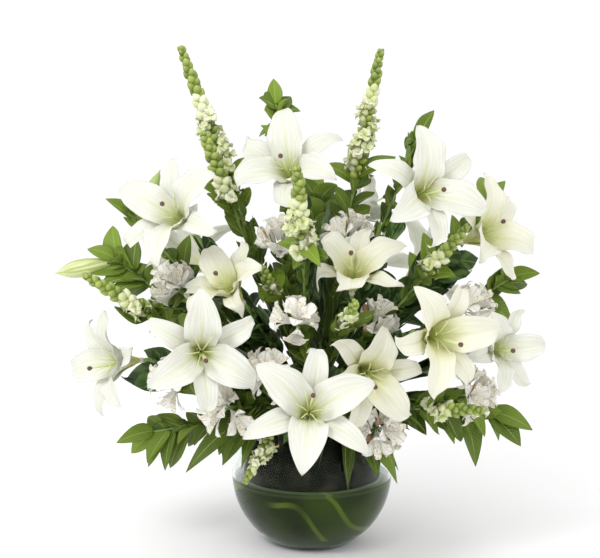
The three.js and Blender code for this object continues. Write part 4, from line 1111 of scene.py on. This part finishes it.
def ring_body(profile, sides, finish, wobble=None):
    """A closed ring profile carried round Z, such as the liner's band, with no end fans."""
    part = turned_part(np.concatenate([profile, profile[:1]]), sides, finish, wobble)
    count = len(profile) * sides
    part["quads"] = np.where(part["quads"] >= count, part["quads"] - count, part["quads"])
    part["points"], part["uv"] = part["points"][:count], part["uv"][:count]
    part["fans"] = part["fans"][:0]
    return part


def glass_radius(height, wall):
    """Radius of a ball's slice: sqrt((R - wall)^2 - (z - centre)^2)."""
    return np.sqrt((BOWL_RADIUS - wall) ** 2 - (height - BOWL_CENTRE[2]) ** 2)


def wall_profile(heights, wall, extra=0.0):
    """The ball's slice at each height, as rows of (radius, height)."""
    return np.stack([glass_radius(heights, wall) + extra, heights], -1)


print("the bowl is", round(2 * glass_radius(BOWL_CENTRE[2], 0)), "mm wide and", RIM_Z, "mm high inside")

# %% Glass bowl
new_finish("bowl_glass", (0.93, 0.97, 0.95), 0.0, IOR=1.45, **CLEAR)
outside = wall_profile(np.linspace(0, RIM_Z, 40), 0)
inside = wall_profile(np.linspace(RIM_Z, BOWL_FLOOR, 38), BOWL_WALL)
rim_angle = np.linspace(0, np.pi, 7)[1:-1]
rim_middle = (outside[-1] + inside[0]) / 2
rim_half = (outside[-1, 0] - inside[0, 0]) / 2
rim = rim_middle + rim_half * np.stack([np.cos(rim_angle), np.sin(rim_angle)], -1)
foot, floor_edge = outside[:1] - (3, 0), inside[-1:] - (3, 0)
bowl_profile = np.concatenate([foot, outside, rim, inside, floor_edge])
build("bowl", [turned_part(bowl_profile, 128, "bowl_glass")], "glass_bowl")
print("bowl profile of", len(bowl_profile), "points")

# %% Leaf liner and foam
nodes = Nodes("liner_skin", (0.03, 0.05, 0.02), 0.5, Specular_IOR_Level=0.15)
turned = nodes.add("ShaderNodeMapping", Vector=nodes.place, Rotation=(0.35, -0.45, 0.0))
waves = nodes.add(
    "ShaderNodeTexWave", wave_type="BANDS", bands_direction="Z", Vector=turned.outputs[0],
    Scale=8.0, Distortion=7.0, Detail=1.5, Detail_Scale=0.9)
broken = nodes.range(nodes.noise(14.0, 1.0), 0.36, 0.56)
vein = nodes.times(nodes.range(waves.outputs["Fac"], 0.88, 0.99), broken)
patches = nodes.range(nodes.noise(9.0, 2.0), 0.38, 0.62)
body = nodes.mix(patches, (0.028, 0.040, 0.008), (0.085, 0.120, 0.017))
streaked = nodes.mix(nodes.times(vein, 0.7), body, (0.34, 0.42, 0.06))
height = nodes.add("ShaderNodeSeparateXYZ", Vector=nodes.place).outputs[2]
# Below the water the band keeps its streaked green; a pale strip just under the waterline is a painted
# highlight of the water's edge.
wet = nodes.range(height, (WATER_Z - 2) * MM, (WATER_Z + 1) * MM, 1.0, 0.0)
waterline_highlight = nodes.times(wet, nodes.range(height, (WATER_Z - 12) * MM, (WATER_Z - 4) * MM))
under = nodes.mix(nodes.times(waterline_highlight, 0.5), streaked, (0.30, 0.36, 0.20))
# Above the water the band is painted near black in patches: painted shade inside the bowl under the
# bouquet.
shade_patches = nodes.range(nodes.noise(30.0, 3.0), 0.42, 0.68)
painted_shade_above_water = nodes.mix(shade_patches, (0.007, 0.010, 0.004), (0.045, 0.042, 0.022))
nodes.colour(wet, painted_shade_above_water, under)


def leaf_folds(height, turn):
    """Slanted folds round the band: 0.5 sin(6 t + 0.03 z) + 0.3 sin(13 t - 0.05 z) mm."""
    return 0.5 * np.sin(6 * turn + height * 0.03) + 0.3 * np.sin(13 * turn - height * 0.05)


liner_z = np.linspace(26, 196, 36)
skin = np.stack([np.interp(liner_z, LINER[:, 0], LINER[:, 1]), liner_z], -1)
band = np.concatenate([skin, (skin - (1.5, 0))[::-1]])
build("liner_band", [ring_body(band, 96, "liner_skin", leaf_folds)], "liner_leaf")

nodes = Nodes("foam_moss", (0.05, 0.09, 0.03), 0.95)
grain = nodes.noise(120.0, 4.0)
nodes.colour(grain, (0.02, 0.04, 0.012), (0.10, 0.17, 0.05))
nodes.bump(grain, 0.002)
dome = np.radians(np.linspace(0, 88, 16))
foam_profile = np.concatenate([
    [[FOAM_RADIUS - 16, 8.4], [58, 8.4], [FOAM_RADIUS, 24], [FOAM_RADIUS, 120]],
    np.stack([FOAM_RADIUS * np.cos(dome), FOCUS[2] + FOAM_RADIUS * np.sin(dome)], -1),
])
build("foam_core", [turned_part(foam_profile, 64, "foam_moss")], "floral_foam")
print("liner", np.ptp(liner_z), "mm high, foam up to", round(foam_profile[-1, 1]), "mm")

# %% Water
new_finish("clear_water", (0.86, 0.95, 0.84), 0.0, IOR=1.333, **CLEAR)
WATER_FLOOR, FOAM_SIDE = BOWL_FLOOR + 0.1, FOAM_RADIUS + TOUCH
water_wall = wall_profile(np.linspace(WATER_FLOOR, WATER_Z, 24), BOWL_WALL, 0.15)
foam_side = [[FOAM_SIDE, WATER_Z], [FOAM_SIDE, 24], [60, 9.5]]
water_profile = np.concatenate([[[50, WATER_FLOOR]], water_wall, foam_side])
build("bowl_water", [ring_body(water_profile, 96, "clear_water")], "water")
print("water from", WATER_FLOOR, "to", WATER_Z, "mm")
